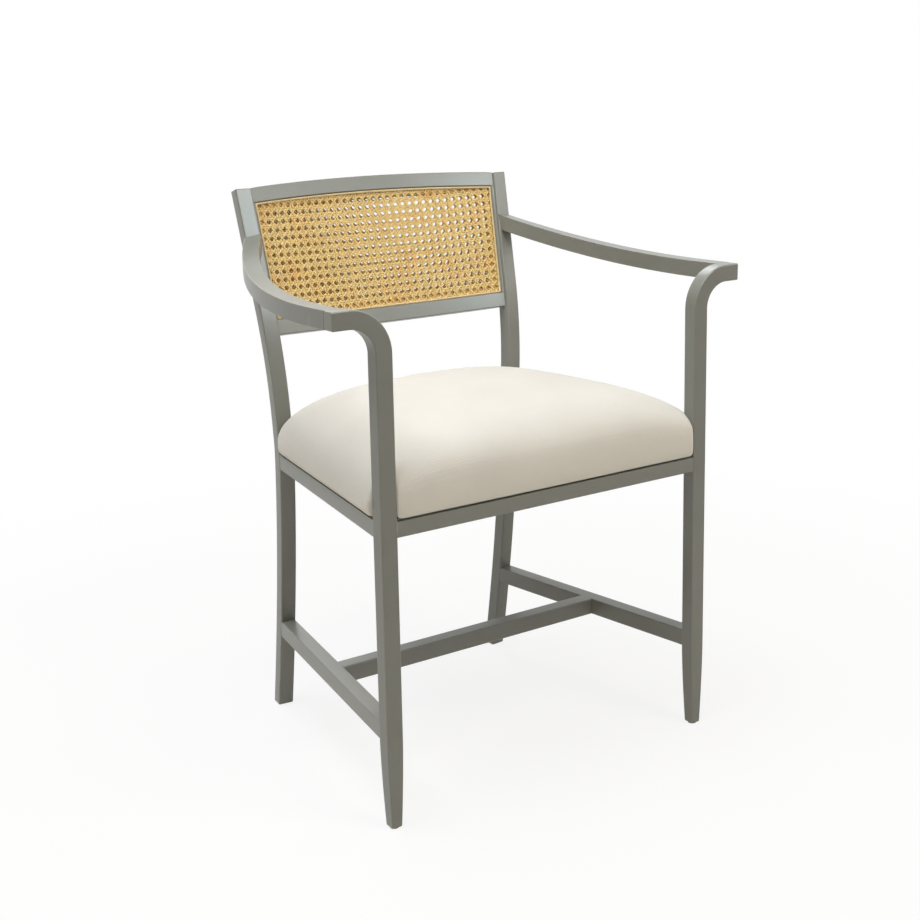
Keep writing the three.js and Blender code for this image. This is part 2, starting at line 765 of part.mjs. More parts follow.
// The crowned pad: a grid over the plan, fullest above the rail and tucked in at its lower edge.
function crownedPad(inset, bottom) {
  const spread = (count) =>
    Array.from({ length: count + 1 }, (_, i) => {
      const t = (2 * i) / count - 1;
      return Math.sign(t) * (1 - (1 - Math.abs(t)) ** crownCrowding);
    });
  const as = spread(crownColumns);
  const bs = spread(crownRows);
  const front = seatFrontGap + inset;
  const rear = seatRearDepth - inset;
  const full = railTop + seatSideHeight;
  const plan = (a, b, drawIn) => {
    const y = (front + rear) / 2 + (b * (rear - front)) / 2;
    const half = seatHalf(y) - seatSideInset - inset;
    const shrink = (half - drawIn) / half;
    const shrinkDeep = ((rear - front) / 2 - drawIn) / ((rear - front) / 2);
    return [a * half * shrink, (front + rear) / 2 + (b * shrinkDeep * (rear - front)) / 2];
  };
  const dome = (a, b) =>
    (1 - Math.abs(a) ** crownPowerAcross) ** (1 / crownPowerAcross) *
    (1 - Math.abs(b) ** crownPowerDeep) ** (1 / crownPowerDeep);
  const points = [];
  bs.forEach((b) =>
    as.forEach((a) => {
      const [x, y] = plan(a, b, 0);
      points.push(new THREE.Vector3(x, y, full + (seatCrown - inset) * dome(a, b)));
    })
  );
  const across = as.length;
  const faces = [];
  for (let j = 0; j + 1 < bs.length; j += 1) {
    for (let i = 0; i + 1 < across; i += 1) {
      const a = j * across + i;
      faces.push(a, a + 1, a + across + 1, a, a + across + 1, a + across);
    }
  }
  const rim = [];
  for (let i = 0; i < across; i += 1) rim.push([i, 0]);
  for (let j = 1; j < bs.length; j += 1) rim.push([across - 1, j]);
  for (let i = across - 2; i >= 0; i -= 1) rim.push([i, bs.length - 1]);
  for (let j = bs.length - 2; j > 0; j -= 1) rim.push([0, j]);
  const first = points.length;
  rim.forEach(([i, j]) => {
    const [x, y] = plan(as[i], bs[j], seatTuck);
    points.push(new THREE.Vector3(x, y, bottom));
  });
  const centre = points.length;
  points.push(new THREE.Vector3(0, (front + rear) / 2, bottom));
  rim.forEach(([i, j], k) => {
    const next = (k + 1) % rim.length;
    const upper = j * across + i;
    const upperNext = rim[next][1] * across + rim[next][0];
    faces.push(first + k, first + next, upperNext, first + k, upperNext, upper);
    faces.push(centre, first + next, first + k);
  });
  const geometry = new THREE.BufferGeometry().setFromPoints(points);
  geometry.setIndex(faces);
  return geometry;
}

// Upright boxes that clear the legs out of the seat.
function legNotches(clearance) {
  const top = railTop + seatSideHeight + seatCrown + overrun;
  const box = (inner, front, rear) =>
    prism(
      [
        [inner, front],
        [frontHalfWidth + legWidth, front],
        [frontHalfWidth + legWidth, rear],
        [inner, rear],
      ],
      railTop - overrun,
      top
    );
  const frontInner = frontOuter(top) - legWidth - clearance;
  const rearInner =
    rearHalfWidth - postWidth * Math.cos(postToe) - postDepth * Math.sin(postToe) - clearance;
  const rearStart = waistDepth - postWidth * Math.sin(postToe) - clearance;
  const frontBox = box(frontInner, -overrun, legDepth + clearance);
  const rearBox = box(rearInner, rearStart, seatRearDepth + overrun);
  return [frontBox, mirrored(frontBox), rearBox, mirrored(rearBox)];
}

const boardBottom = railTop + coverThickness + fitGap;
const boardTop = boardBottom + boardThickness;

// Corner blocks

// Inner corner of the seat frame where a side rail meets the front or the rear rail.
function innerCorner(depth) {
  const { start, along, inward } = sideLine(railMiddle);
  const face = start.clone().addScaledVector(inward, flushSet + railThickness + fitGap);
  return new THREE.Vector2(face.x + ((depth - face.y) * along.x) / along.y, depth);
}

// Three-cornered block; forward is 1 where the block reaches back from the front rail, -1 otherwise.
function cornerBlock(depth, forward) {
  const { along } = sideLine(railMiddle);
  const corner = innerCorner(depth);
  const sideEnd = corner.clone().addScaledVector(along, forward * blockLeg);
  const railEnd = new THREE.Vector2(corner.x - blockLeg, depth);
  const middle = corner.clone().add(sideEnd).add(railEnd).divideScalar(3);
  const outline = [corner, sideEnd, railEnd].map((p) => [p.x, p.y]);
  const top = railTop - blockTopDrop;
  const screw = (grow = 0) =>
    pin(
      new THREE.Vector3(middle.x, middle.y, top - blockHeight - screwHeadHeight),
      new THREE.Vector3(middle.x, middle.y, boardBottom + seatScrewInBoard + grow),
      screwRadius + grow,
      { radius: screwHeadRadius + grow, height: screwHeadHeight }
    );
  const stock = prism(outline, top - blockHeight, top);
  return { block: cut(stock, grownFrontLeg, grownRearLeg, screw(fitGap)), screw };
}

const frontBlock = cornerBlock(flushSet + frontRailThickness + fitGap, 1);
const rearBlock = cornerBlock(rearRailFront - fitGap, -1);

// Pieces of the seat

const voidInset = coverThickness;
const foamInset = coverThickness + fitGap;
const boardMargin = foamInset + seatTuck + fitGap;
const hemOpening = prism(seatPlan(hemWidth), railTop - overrun, railTop + coverThickness + overrun);
const coverSkin = cut(crownedPad(0, railTop), ...legNotches(legClearance));
const coverVoid = cut(
  crownedPad(voidInset, railTop + coverThickness),
  ...legNotches(legClearance + coverThickness)
);
const seatCover = cut(coverSkin, coverVoid, hemOpening);
const seatFoam = cut(
  crownedPad(foamInset, boardTop + fitGap),
  ...legNotches(legClearance + foamInset)
);
const seatScrewHoles = [frontBlock.screw(fitGap), rearBlock.screw(fitGap)];
const seatBoard = cut(
  prism(seatPlan(boardMargin), boardBottom, boardTop),
  ...legNotches(legClearance + foamInset),
  ...seatScrewHoles,
  ...seatScrewHoles.map(mirrored)
);
const dustCover = cut(
  prism(dustPlan(), railBottom - dustCoverThickness, railBottom),
  grownFrontLeg,
  mirrored(grownFrontLeg),
  grownRearLeg,
  mirrored(grownRearLeg)
);

// Glides

function glide(centre, grow = 0) {
  const base = new THREE.Vector3(centre.x, centre.y, 0);
  const tip = base.clone().setZ(glideThickness + glidePinLength + grow);
  return pin(base, tip, glidePinRadius + grow, { radius: glideRadius, height: glideThickness });
}

const frontGlideSpot = new THREE.Vector2(
  frontOuter(0) - legWidth / 2,
  (footTaperFront + legDepth - footTaperRear) / 2
);
const rearGlideSpot = new THREE.Vector2(
  rearHalfWidth - (postWidth * Math.cos(postToe) + postDepth * Math.sin(postToe)) / 2,
  waistDepth + rearSplay + (postDepth * Math.cos(postToe) - postWidth * Math.sin(postToe)) / 2
);

// Legs with their mortises and holes

const [dowelFront, dowelRear] = armDowels();
const [dowelFrontHole, dowelRearHole] = armDowels(fitGap);
const frontLeg = cut(
  frontLegStock(),
  frontRailTenon(fitGap),
  railTenons.front(fitGap),
  stretcherTenons.front(fitGap),
  dowelFrontHole,
  glide(frontGlideSpot, fitGap)
);
const rearLeg = cut(
  rearLegStock(),
  rearRailTenon(fitGap),
  railTenons.rear(fitGap),
  stretcherTenons.rear(fitGap),
  backTenon(0, lowerRailHeight, fitGap),
  backTenon(crestBottom, crestTop, fitGap),
  dowelRearHole,
  glide(rearGlideSpot, fitGap)
);

// Rails and stretchers

const sideRail = join(
  cut(sideStock(railMiddle, railThickness, railBottom, railTop), grownFrontLeg, grownRearLeg),
  railTenons.front(),
  railTenons.rear()
);
const sideStretcher = cut(
  join(
    cut(
      sideStock(stretcherMiddle, stretcherThickness, stretcherBottom, stretcherTop),
      grownFrontLeg,
      grownRearLeg
    ),
    stretcherTenons.front(),
    stretcherTenons.rear()
  ),
  crossTenon(fitGap)
);
const crossStretcher = crossBar(
  crossHalf + overrun,
  crossFront,
  crossWidth,
  stretcherBottom,
  stretcherTop,
  sideStock(stretcherMiddle, stretcherThickness, stretcherBottom, stretcherTop, fitGap),
  crossTenon
);
const frontRail = crossBar(
  frontOuter(railMiddle) - legWidth + overrun,
  flushSet,
  frontRailThickness,
  railBottom,
  railTop,
  grownFrontLeg,
  frontRailTenon
);
const rearRail = crossBar(
  rearOuter(railMiddle) - postWidth + overrun,
  rearRailFront,
  rearRailThickness,
  railBottom,
  railTop,
  grownRearLeg,
  rearRailTenon
);
const arm = cut(armStock(), armEndCutter, dowelFrontHole, dowelRearHole);

const crestRail = withTenons(
  backRail(crestBottom, crestTop, crestBottom - ledge, crestBottom + jointRoot),
  crestBottom,
  crestTop
);
const lowerRail = withTenons(
  backRail(0, lowerRailHeight, lowerRailHeight - jointRoot, lowerRailHeight + ledge),
  0,
  lowerRailHeight
);
const rightStile = backStile();

const sheetFront = beadThickness + fitGap;
const rearFace = backThickness;

const group = new THREE.Group();
group.name = "fauteuil";

function add(name, geometry, finish) {
  const mesh = new THREE.Mesh(geometry, new THREE.MeshStandardMaterial(finish));
  mesh.name = name;
  group.add(mesh);
}

function addPair(name, geometry, finish) {
  add(`${name}_right`, geometry, finish);
  add(`${name}_left`, mirrored(geometry), finish);
}

addPair("front_leg", frontLeg, paint);
addPair("rear_leg", rearLeg, paint);
add("front_seat_rail", frontRail, paint);
add("rear_seat_rail", rearRail, paint);
addPair("side_seat_rail", sideRail, paint);
addPair("side_stretcher", sideStretcher, paint);
add("cross_stretcher", crossStretcher, paint);
addPair("arm", arm, paint);
add("crest_rail", crestRail, paint);
add("lower_back_rail", lowerRail, paint);
addPair("back_stile", rightStile, paint);
add("cane_front", caneSheet(sheetFront, sheetFront + caneThickness), rattan);
add("cane_rear", caneSheet(rearFace - sheetFront - caneThickness, rearFace - sheetFront), rattan);
add("cane_bead_front", caneBead(0, beadThickness), rattanPeel);
add("cane_bead_rear", caneBead(rearFace - beadThickness, rearFace), rattanPeel);
add("seat_cover", seatCover, linen);
add("seat_foam", seatFoam, foamFinish);
add("seat_board", seatBoard, plywood);
add("dust_cover", dustCover, blackCloth);
addPair("front_corner_block", frontBlock.block, blockWood);
addPair("rear_corner_block", rearBlock.block, blockWood);
addPair("front_seat_screw", frontBlock.screw(), zincSteel);
addPair("rear_seat_screw", rearBlock.screw(), zincSteel);
addPair("front_arm_dowel", dowelFront, dowelWood);
addPair("rear_arm_dowel", dowelRear, dowelWood);
addPair("front_glide", glide(frontGlideSpot), nylon);
addPair("rear_glide", glide(rearGlideSpot), nylon);

// The whole chair is centred on its own plan, standing on Z = 0.
const bounds = new THREE.Box3().setFromObject(group);
const shift = -(bounds.min.y + bounds.max.y) / 2;
group.children.forEach((mesh) => mesh.geometry.translate(0, shift, 0));

export default group;
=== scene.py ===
import math

import bmesh
import bpy
from bpy.props import FloatProperty, FloatVectorProperty, PointerProperty
from mathutils import Matrix, Vector


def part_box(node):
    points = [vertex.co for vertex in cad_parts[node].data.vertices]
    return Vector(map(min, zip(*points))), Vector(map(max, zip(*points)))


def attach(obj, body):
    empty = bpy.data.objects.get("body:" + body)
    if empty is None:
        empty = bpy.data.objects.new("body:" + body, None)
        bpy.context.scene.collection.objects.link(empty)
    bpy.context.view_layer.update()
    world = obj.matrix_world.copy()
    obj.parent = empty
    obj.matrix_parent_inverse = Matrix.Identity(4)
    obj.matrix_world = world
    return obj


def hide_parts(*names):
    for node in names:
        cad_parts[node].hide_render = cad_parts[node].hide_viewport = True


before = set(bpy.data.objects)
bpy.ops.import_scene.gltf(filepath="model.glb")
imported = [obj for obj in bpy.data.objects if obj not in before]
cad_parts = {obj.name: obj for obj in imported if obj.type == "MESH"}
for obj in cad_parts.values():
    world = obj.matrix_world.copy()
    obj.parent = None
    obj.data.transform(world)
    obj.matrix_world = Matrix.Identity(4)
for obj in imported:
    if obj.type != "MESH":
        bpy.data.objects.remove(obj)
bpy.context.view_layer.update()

bl_info = {
    "name": "Open Armchair",
    "version": (1, 0, 0),
    "blender": (4, 5, 0),
    "location": "3D View > Sidebar > Armchair",
    "description": "Dresses the frame of an open armchair with scrolled arms and a cane back",
    "category": "Add Mesh",
}

MM = 0.001
NEAR = 0.01 * MM

# The drawing's origin is on the floor, in the plane of the front legs' front faces.
DRAWING_ORIGIN = Vector((0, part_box("front_leg_right")[0].y, 0))

# Seat rails and stretchers
RAIL_TOP = 437.5 * MM
RAIL_BOTTOM = 411 * MM
RAIL_MIDDLE = (RAIL_TOP + RAIL_BOTTOM) / 2
STRETCHER_TOP = 154.5 * MM
STRETCHER_BOTTOM = 128 * MM
STRETCHER_MIDDLE = (STRETCHER_TOP + STRETCHER_BOTTOM) / 2
FLUSH_SET = 0.5 * MM
SIDE_RAIL_THICKNESS = 22 * MM
FRONT_RAIL_THICKNESS = 21.5 * MM
REAR_RAIL_THICKNESS = 19 * MM
REAR_RAIL_INSET = 1.4 * MM
STRETCHER_THICKNESS = 23.5 * MM
CROSS_FRONT = 209 * MM
CROSS_WIDTH = 24.3 * MM
INTO_LEG = 3 * MM
INTO_NEIGHBOUR = 1.5 * MM

# Front legs and scrolls
FRONT_HALF_WIDTH = 280 * MM
LEG_WIDTH = 24.4 * MM
LEG_DEPTH = 22.4 * MM
LEG_SPLAY = 4.4 * MM
GLIDE_HEIGHT = 1.5 * MM
FOOT_SIDE = 4.2 * MM
FOOT_FRONT = 1.3 * MM
FOOT_REAR = 4 * MM
SCROLL_RADIUS = 60 * MM
SCROLL_HEIGHT = 652.03 * MM
SCROLL_END = 336.6 * MM
SCROLL_TOP = SCROLL_HEIGHT + SCROLL_RADIUS

# Rear legs
REAR_HALF_WIDTH = 224.5 * MM
POST_LEAN = 19.3 * MM
POST_TOP = 832.5 * MM
POST_WIDTH = 24.5 * MM
POST_DEPTH = 22 * MM
POST_TOE = 0.707 * math.atan(55.5 / 371.9)
WAIST_DEPTH = 394.3 * MM
WAIST_HEIGHT = 505.05 * MM
REAR_SPLAY = 57.7 * MM
REAR_BEND_HEIGHT = 303 * MM
POST_BEND_HEIGHT = 582.58 * MM
BACK_RAKE = math.radians(13)

# Arms
ARM_WIDTH = 24.4 * MM
ARM_HEIGHT = 24 * MM
ARM_AT_POST = 762 * MM
ARM_DIP = 8 * MM
ARM_OVERHANG = 0.6 * MM
ARM_BOW = 13 * MM
ARM_BOW_SHARE = 0.62
ARM_FORE_SHARE = 0.172
ARM_HEEL = 15 * MM

# Back frame: x across, d behind its front face, h up its raked plane
BACK_THICKNESS = 16 * MM
BACK_BASE_HEIGHT = 616.5 * MM
BACK_FACE_INSET = 3.07 * MM
BACK_SAG = 22 * MM
CREST_ARCH = 10.3 * MM
LOWER_RAIL_HEIGHT = 24 * MM
CREST_HEIGHT = 23 * MM
CREST_TOP = (POST_TOP - BACK_BASE_HEIGHT) / math.cos(BACK_RAKE)
CREST_BOTTOM = CREST_TOP - CREST_HEIGHT
BACK_OPENING = CREST_BOTTOM - LOWER_RAIL_HEIGHT
STILE_FACE = 4.5 * MM
LEDGE = 11 * MM
LEDGE_DEPTH = 4.9 * MM
LEDGE_FAR = BACK_THICKNESS - LEDGE_DEPTH

# Cane
SHEET_FRONT = 2.2 * MM
SHEET_THICKNESS = 2.4 * MM
BEAD_THICKNESS = 1.9 * MM
BEAD_WIDTH = 3 * MM
SHEET_GAP = 0.3 * MM
STRAND_GAP = 0.1 * MM

# How each sheet lies in the opening: its meshes' width and height against the cane's nominal mesh,
# a hole's place across and up from the opening's middle, and its turn
CANE_LAY = {
    "front": (1.0246, 0.988, 2.76 * MM, -3.41 * MM, 0.0061),
    "rear": (1.0005, 0.9694, 8.34 * MM, 1.29 * MM, -0.0077),
}

# Seat
SEAT_CROWN = 98.5 * MM
SEAT_REAR_REACH = 9 * MM
LIP_HEIGHT = 12 * MM
LIP_SIDE = 9 * MM
LIP_FRONT = 7 * MM
LIP_REAR = 3 * MM
LIP_TURN = 2.3
HEM_SINK = 3.5 * MM
HEM_GAP = 1.3 * MM
HELD_HEIGHT = 2 * MM
HANG_FRONT = 7.5 * MM
HANG_SIDE = 2 * MM
HANG_START = 2 * MM
HANG_REACH = 3 * MM
HANG_FADE = 30 * MM
REBATE_IN = 4 * MM
REBATE_FRONT = 4.8 * MM
REBATE_SIDE = 2.5 * MM
CROWN_POWER_ACROSS = 2.9
CROWN_POWER_DEEP = 3.56
LEG_PRESS = 0.8 * MM
SWELL_LIMIT = 12 * MM
SWELL_FRAMES = 25
SMOOTH_TURNS = 100
COVER_CLOTH = {
    "quality": 5, "mass": 0.3, "tension_stiffness": 5, "compression_stiffness": 5,
    "shear_stiffness": 1, "bending_stiffness": 10, "use_pressure": True,
    "uniform_pressure_force": 1.5, "vertex_group_mass": "held",
}


def linear(hex_colour):
    """Turns an sRGB hex colour into the linear values that the shaders take."""
    channels = [int(hex_colour[i:i + 2], 16) / 255 for i in (0, 2, 4)]
    return tuple(c / 12.92 if c <= 0.04045 else ((c + 0.055) / 1.055) ** 2.4 for c in channels)


def length(name, description, default):
    """A property that holds a length."""
    return FloatProperty(name=name, description=description, default=default, unit="LENGTH")


def tint(name, description, hex_colour):
    """A property that holds a colour."""
    return FloatVectorProperty(
        name=name, description=description, subtype="COLOR", default=linear(hex_colour))


class ArmchairSizes(bpy.types.PropertyGroup):
    """Sizes of the armchair's finish that a user would change."""

    edge_radius: length("Edge Radius", "Rounding of the painted members' edges", 0.002)
    mesh_pitch: length("Cane Mesh", "Distance between the holes of the woven cane", 0.0127)
    strand_width: length("Cane Width", "Width of one strand of cane", 0.0028)
    strand_thickness: length("Cane Thickness", "Thickness of one strand of cane", 0.00075)
    voxel: length("Cloth Grid", "Size of the faces that the seat cover is simulated with", 0.005)
    swell: length("Swell", "How far the stuffing pushes the seat cover out", 0.0025)


class ArmchairColours(bpy.types.PropertyGroup):
    """Colours of the armchair's finishes."""

    paint: tint("Paint", "Colour of the painted frame", "85867f")
    cane: tint("Cane", "Colour of the woven cane", "f2d286")
    bead: tint("Bead", "Colour of the strip that holds the cane", "edd3a0")
    cloth: tint("Seat Cloth", "Colour of the seat cover", "f1eee8")


# Materials

def feed(tree, item, inputs):
    """Gives a shader node its input values and links."""
    for socket, value in inputs.items():
        if isinstance(value, bpy.types.NodeSocket):
            tree.links.new(value, item.inputs[socket])
        else:
            item.inputs[socket].default_value = value


def add(tree, kind, inputs=None, **settings):
    """Adds a shader node with its settings, input values and links."""
    item = tree.nodes.new("ShaderNode" + kind)
    for name, value in settings.items():
        setattr(item, name, value)
    feed(tree, item, inputs or {})
    return item


def noise(tree, place, scale, detail):
    """A cloudy pattern."""
    return add(tree, "TexNoise", {"Vector": place, "Scale": scale, "Detail": detail}).outputs["Fac"]


def stretch(tree, value, start=0.0, end=1.0, low=0.0, high=1.0):
    """Maps a value from the range between start and end to the one between low and high."""
    inputs = {"Value": value, "From Min": start, "From Max": end, "To Min": low, "To Max": high}
    return add(tree, "MapRange", inputs).outputs["Result"]


def relief(tree, height, strength, distance):
    """Surface direction over a pattern of heights."""
    inputs = {"Strength": strength, "Distance": distance, "Height": height}
    return add(tree, "Bump", inputs).outputs["Normal"]


def combine(tree, operation, *values):
    """Works out one value from others."""
    return add(tree, "Math", dict(enumerate(values)), operation=operation).outputs["Value"]


def scaled(tree, place, scale):
    """A place with each axis scaled."""
    return add(tree, "Mapping", {"Vector": place, "Scale": scale}).outputs["Vector"]


def finish(name):
    """Starts a material and returns it with its node tree, shader and object coordinates."""
    material = bpy.data.materials.new(name)
    material.use_nodes = True
    tree = material.node_tree
    shader = tree.nodes["Principled BSDF"]
    place = add(tree, "TexCoord").outputs["Object"]
    return material, tree, shader, place


def blend(tree, factor, first, second, **settings):
    """Mixes two colours, each a socket or three values, by a factor and returns the colour."""
    pair = [c if isinstance(c, bpy.types.NodeSocket) else (*c, 1) for c in (first, second)]
    inputs = {"Factor": factor, "A": pair[0], "B": pair[1]}
    return add(tree, "Mix", inputs, data_type="RGBA", **settings).outputs["Result"]


def shade(colour, factor):
    """A lighter or darker version of a linear colour."""
    return tuple(channel * factor for channel in colour)


def painted_wood(colour):
    # Satin polyurethane enamel, sprayed over filled and sanded beech: an even grey-green with a
    # soft broad sheen, a trace of orange peel and no grain, and paler edges, a painted highlight.
    material, tree, shader, place = finish("satin_enamel_on_beech")
    cloud = noise(tree, place, 14.0, 3.0)
    base = blend(tree, stretch(tree, cloud, 0.35, 0.65), shade(colour, 0.96), shade(colour, 1.02))
    # Pointiness lifts the colour along the sharp edges: a painted highlight, not a change in the
    # paint.
    point = add(tree, "NewGeometry").outputs["Pointiness"]
    feed(tree, shader, {
        "Base Color": blend(tree, stretch(tree, point, 0.52, 0.6), base, shade(colour, 1.12)),
        "Roughness": stretch(tree, cloud, low=0.29, high=0.37),
        "Normal": relief(tree, noise(tree, place, 700.0, 1.0), 0.12, 0.0003),
        "IOR": 1.5,
    })
    return material


def woven_cane(colour):
    # Rattan peel, split and machine woven: hard shiny skin, each strand a little different in
    # tone, from pale straw to a browner orange where the skin is scorched.
    material, tree, shader, place = finish("woven_rattan_peel")
    tone = stretch(tree, noise(tree, place, 260.0, 2.0), 0.32, 0.68)
    base = blend(tree, tone, shade(colour, 0.78), shade(colour, 1.12))
    warm = stretch(tree, noise(tree, place, 28.0, 2.0), 0.5, 0.75)
    feed(tree, shader, {
        "Base Color": blend(tree, warm, base, (1.0, 0.84, 0.66), blend_type="MULTIPLY"),
        "Normal": relief(tree, noise(tree, place, 1400.0, 1.0), 0.25, 0.0002),
        "Roughness": 0.42,
        "IOR": 1.5,
    })
    return material


def rattan_bead(colour):
    # Flat reed, glued into the groove and wiped clean: paler than the cane, with long fine fibres.
    material, tree, shader, place = finish("flat_reed_bead")
    fibre = noise(tree, scaled(tree, place, (0.15, 1.0, 1.0)), 500.0, 3.0)
    tone = stretch(tree, fibre, 0.3, 0.7)
    feed(tree, shader, {
        "Base Color": blend(tree, tone, shade(colour, 0.82), shade(colour, 1.06)),
        "Normal": relief(tree, fibre, 0.3, 0.0002),
        "Roughness": 0.5,
    })
    return material


def seat_linen(colour):
    # Bleached linen and cotton, plain woven: matt, slightly uneven yarns that show as a fine grid,
    # faint clouding, and a soft bloom at glancing angles. The threads are drawn at 1.6 mm, about
    # twice their real spacing, so that they show.
    material, tree, shader, place = finish("plain_woven_linen")
    wander = add(tree, "TexNoise", {"Vector": place, "Scale": 60.0, "Detail": 2.0})
    push = add(tree, "VectorMath", {0: wander.outputs["Color"], "Scale": 0.0012}, operation="SCALE")
    thread = add(tree, "VectorMath", {0: place, 1: push.outputs["Vector"]}, operation="ADD")
    split = add(tree, "SeparateXYZ", {"Vector": thread.outputs["Vector"]})
    turns = [combine(tree, "MULTIPLY", split.outputs[axis], math.tau / 0.0016) for axis in "XYZ"]
    waves = [combine(tree, "SINE", turn) for turn in turns]
    weave = combine(tree, "ADD", combine(tree, "ADD", waves[0], waves[1]), waves[2])
    height = combine(tree, "MULTIPLY_ADD", noise(tree, place, 900.0, 2.0), 2.5, weave)
    tone = stretch(tree, noise(tree, place, 9.0, 3.0), 0.3, 0.7)
    feed(tree, shader, {
        "Base Color": blend(tree, tone, shade(colour, 0.95), shade(colour, 1.0)),
        "Normal": relief(tree, height, 0.2, 0.0002),
        "Roughness": 0.95,
        "Specular IOR Level": 0.2,
        "Sheen Weight": 0.15,
        "Sheen Roughness": 0.5,
    })
    return material


def layered_plywood():
    # Beech plywood, sawn and sanded: a plain face, and an edge striped by 1.5 mm veneers.
    material, tree, shader, place = finish("beech_plywood")
    split = add(tree, "SeparateXYZ", {"Vector": place})
    layer = combine(tree, "MULTIPLY", split.outputs["Z"], math.tau / 0.003)
    fibre = noise(tree, scaled(tree, place, (0.1, 1.0, 1.0)), 300.0, 3.0)
    mixed = combine(tree, "MULTIPLY_ADD", combine(tree, "SINE", layer), 0.3, fibre)
    base = blend(tree, mixed, linear("b08a58"), linear("dcc093"))
    feed(tree, shader, {"Base Color": base, "Roughness": 0.75})
    return material


def bare_beech(name, dark, light, along):
    # Unfinished beech, sawn or turned: matt, with short flecks along the grain.
    material, tree, shader, place = finish(name)
    fibre = noise(tree, scaled(tree, place, along), 350.0, 4.0)
    feed(tree, shader, {
        "Base Color": blend(tree, fibre, linear(dark), linear(light)),
        "Normal": relief(tree, fibre, 0.2, 0.0003),
        "Roughness": 0.8,
    })
    return material


def dust_cloth():
    # Spunbonded polypropylene: a thin matt black felt with a faint dimpled grid.
    material, tree, shader, place = finish("spunbonded_polypropylene")
    dimple = add(tree, "TexVoronoi", {"Vector": place, "Scale": 400.0}).outputs["Distance"]
    feed(tree, shader, {
        "Base Color": blend(tree, dimple, linear("141415"), linear("2a2a2c")),
        "Normal": relief(tree, dimple, 0.4, 0.0003),
        "Roughness": 0.95,
    })
    return material


def zinc_steel():
    # Zinc-plated steel, barrel plated: bright grey with fine uneven crystals.
    material, tree, shader, place = finish("zinc_plated_steel")
    crystal = noise(tree, place, 900.0, 2.0)
    feed(tree, shader, {
        "Base Color": blend(tree, crystal, linear("a8abb0"), linear("cfd1d4")),
        "Roughness": stretch(tree, crystal, low=0.25, high=0.45),
        "Metallic": 1.0,
    })
    return material


def glide_nylon():
    # Moulded nylon: dark, slightly waxy, scuffed matt where it slides on the floor.
    material, tree, shader, place = finish("moulded_nylon")
    scuff = noise(tree, place, 500.0, 3.0)
    feed(tree, shader, {
        "Base Color": blend(tree, scuff, linear("232120"), linear("34312f")),
        "Roughness": stretch(tree, scuff, low=0.45, high=0.7),
    })
    return material


# Modelling

SQUARE = ((0, 0), (1, 0), (1, 1), (0, 1))


def station(origin, across, up):
    """Matrix that puts a flat outline at a place, with its axes along across and up."""
    columns = Matrix((across, up, Vector(across).cross(Vector(up)))).transposed().to_4x4()
    columns.translation = origin
    return columns


def sweep(bm, outline, stations, capped=True):
    """Draws a bar from an outline through a list of stations by extruding its end face."""
    verts = [bm.verts.new(stations[0] @ Vector((u, v, 0))) for u, v in outline]
    first = face = bm.faces.new(verts)
    for before, after in zip(stations, stations[1:]):
        end = [face, *face.edges, *face.verts]
        grown = bmesh.ops.extrude_face_region(bm, geom=end)["geom"]
        face = next(item for item in grown if isinstance(item, bmesh.types.BMFace))
        bmesh.ops.transform(bm, matrix=after @ before.inverted(), verts=face.verts[:])
    if not capped:
        bmesh.ops.delete(bm, geom=[first, face], context="FACES_ONLY")


def round_edges(bm, radius, buried):
    """Rounds every edge where two faces meet at a clear angle, but for those of a buried end."""
    sharp = [e for e in bm.edges if e.is_manifold and e.calc_face_angle() > math.radians(35)
             and not all(buried(vert.co) for vert in e.verts)]
    bmesh.ops.bevel(
        bm, geom=sharp, offset=radius, offset_type="OFFSET", segments=3, profile=0.5,
        affect="EDGES", material=-1, clamp_overlap=True,
    )


def cut_off(bm, place, normal):
    """Cuts away what lies beyond a plane."""
    everything = bm.verts[:] + bm.edges[:] + bm.faces[:]
    return bmesh.ops.bisect_plane(
        bm, geom=everything, plane_co=place, plane_no=normal, clear_outer=True)


def mirror(bm):
    """The same geometry on the other side of the chair instead."""
    bmesh.ops.transform(bm, matrix=Matrix.Scale(-1, 4, (1, 0, 0)), verts=bm.verts[:])


def plain_object(name, bm):
    """An object of a mesh with nothing else."""
    mesh = bpy.data.meshes.new(name)
    bm.to_mesh(mesh)
    bm.free()
    obj = bpy.data.objects.new(name, mesh)
    bpy.context.scene.collection.objects.link(obj)
    return obj


def piece(name, bm, material, slot, *nodes):
    """Makes an object of the mesh, drawn from the drawing's origin, that stands for CAD nodes."""
    bmesh.ops.remove_doubles(bm, verts=bm.verts[:], dist=1e-6)
    bmesh.ops.recalc_face_normals(bm, faces=bm.faces[:])
    bmesh.ops.translate(bm, vec=DRAWING_ORIGIN, verts=bm.verts[:])
    obj = plain_object(name, bm)
    obj.data.shade_smooth()
    obj.data.materials.append(material)
    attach(obj, "root")
    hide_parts(*nodes)
    return obj


def painted(bm, sizes, node, buried=lambda co: False):
    """Rounds a painted member's edges and makes its object, shaded as flat faces between them."""
    round_edges(bm, sizes.edge_radius, buried)
    enamel = bpy.data.materials["satin_enamel_on_beech"]
    obj = piece(f"painted_{node}", bm, enamel, "painted_wood", node)
    obj.data.materials.append(bpy.data.materials["masked_beech"])
    obj.modifiers.new("Face Shading", "WEIGHTED_NORMAL")


def painted_bar(outline, stations, *finish_with):
    """Sweeps a painted member and makes its object."""
    bm = bmesh.new()
    sweep(bm, outline, stations)
    painted(bm, *finish_with)


def painted_pair(draw, sizes, node, *buried):
    """Draws a painted member on the right, and then its mirror image on the left."""
    for side in ("right", "left"):
        bm = bmesh.new()
        draw(bm)
        if side == "left":
            mirror(bm)
        painted(bm, sizes, f"{node}_{side}", *buried)


def front_outer(height):
    """Outer face of a front leg at a height."""
    return FRONT_HALF_WIDTH + LEG_SPLAY * (RAIL_BOTTOM - height) / RAIL_BOTTOM


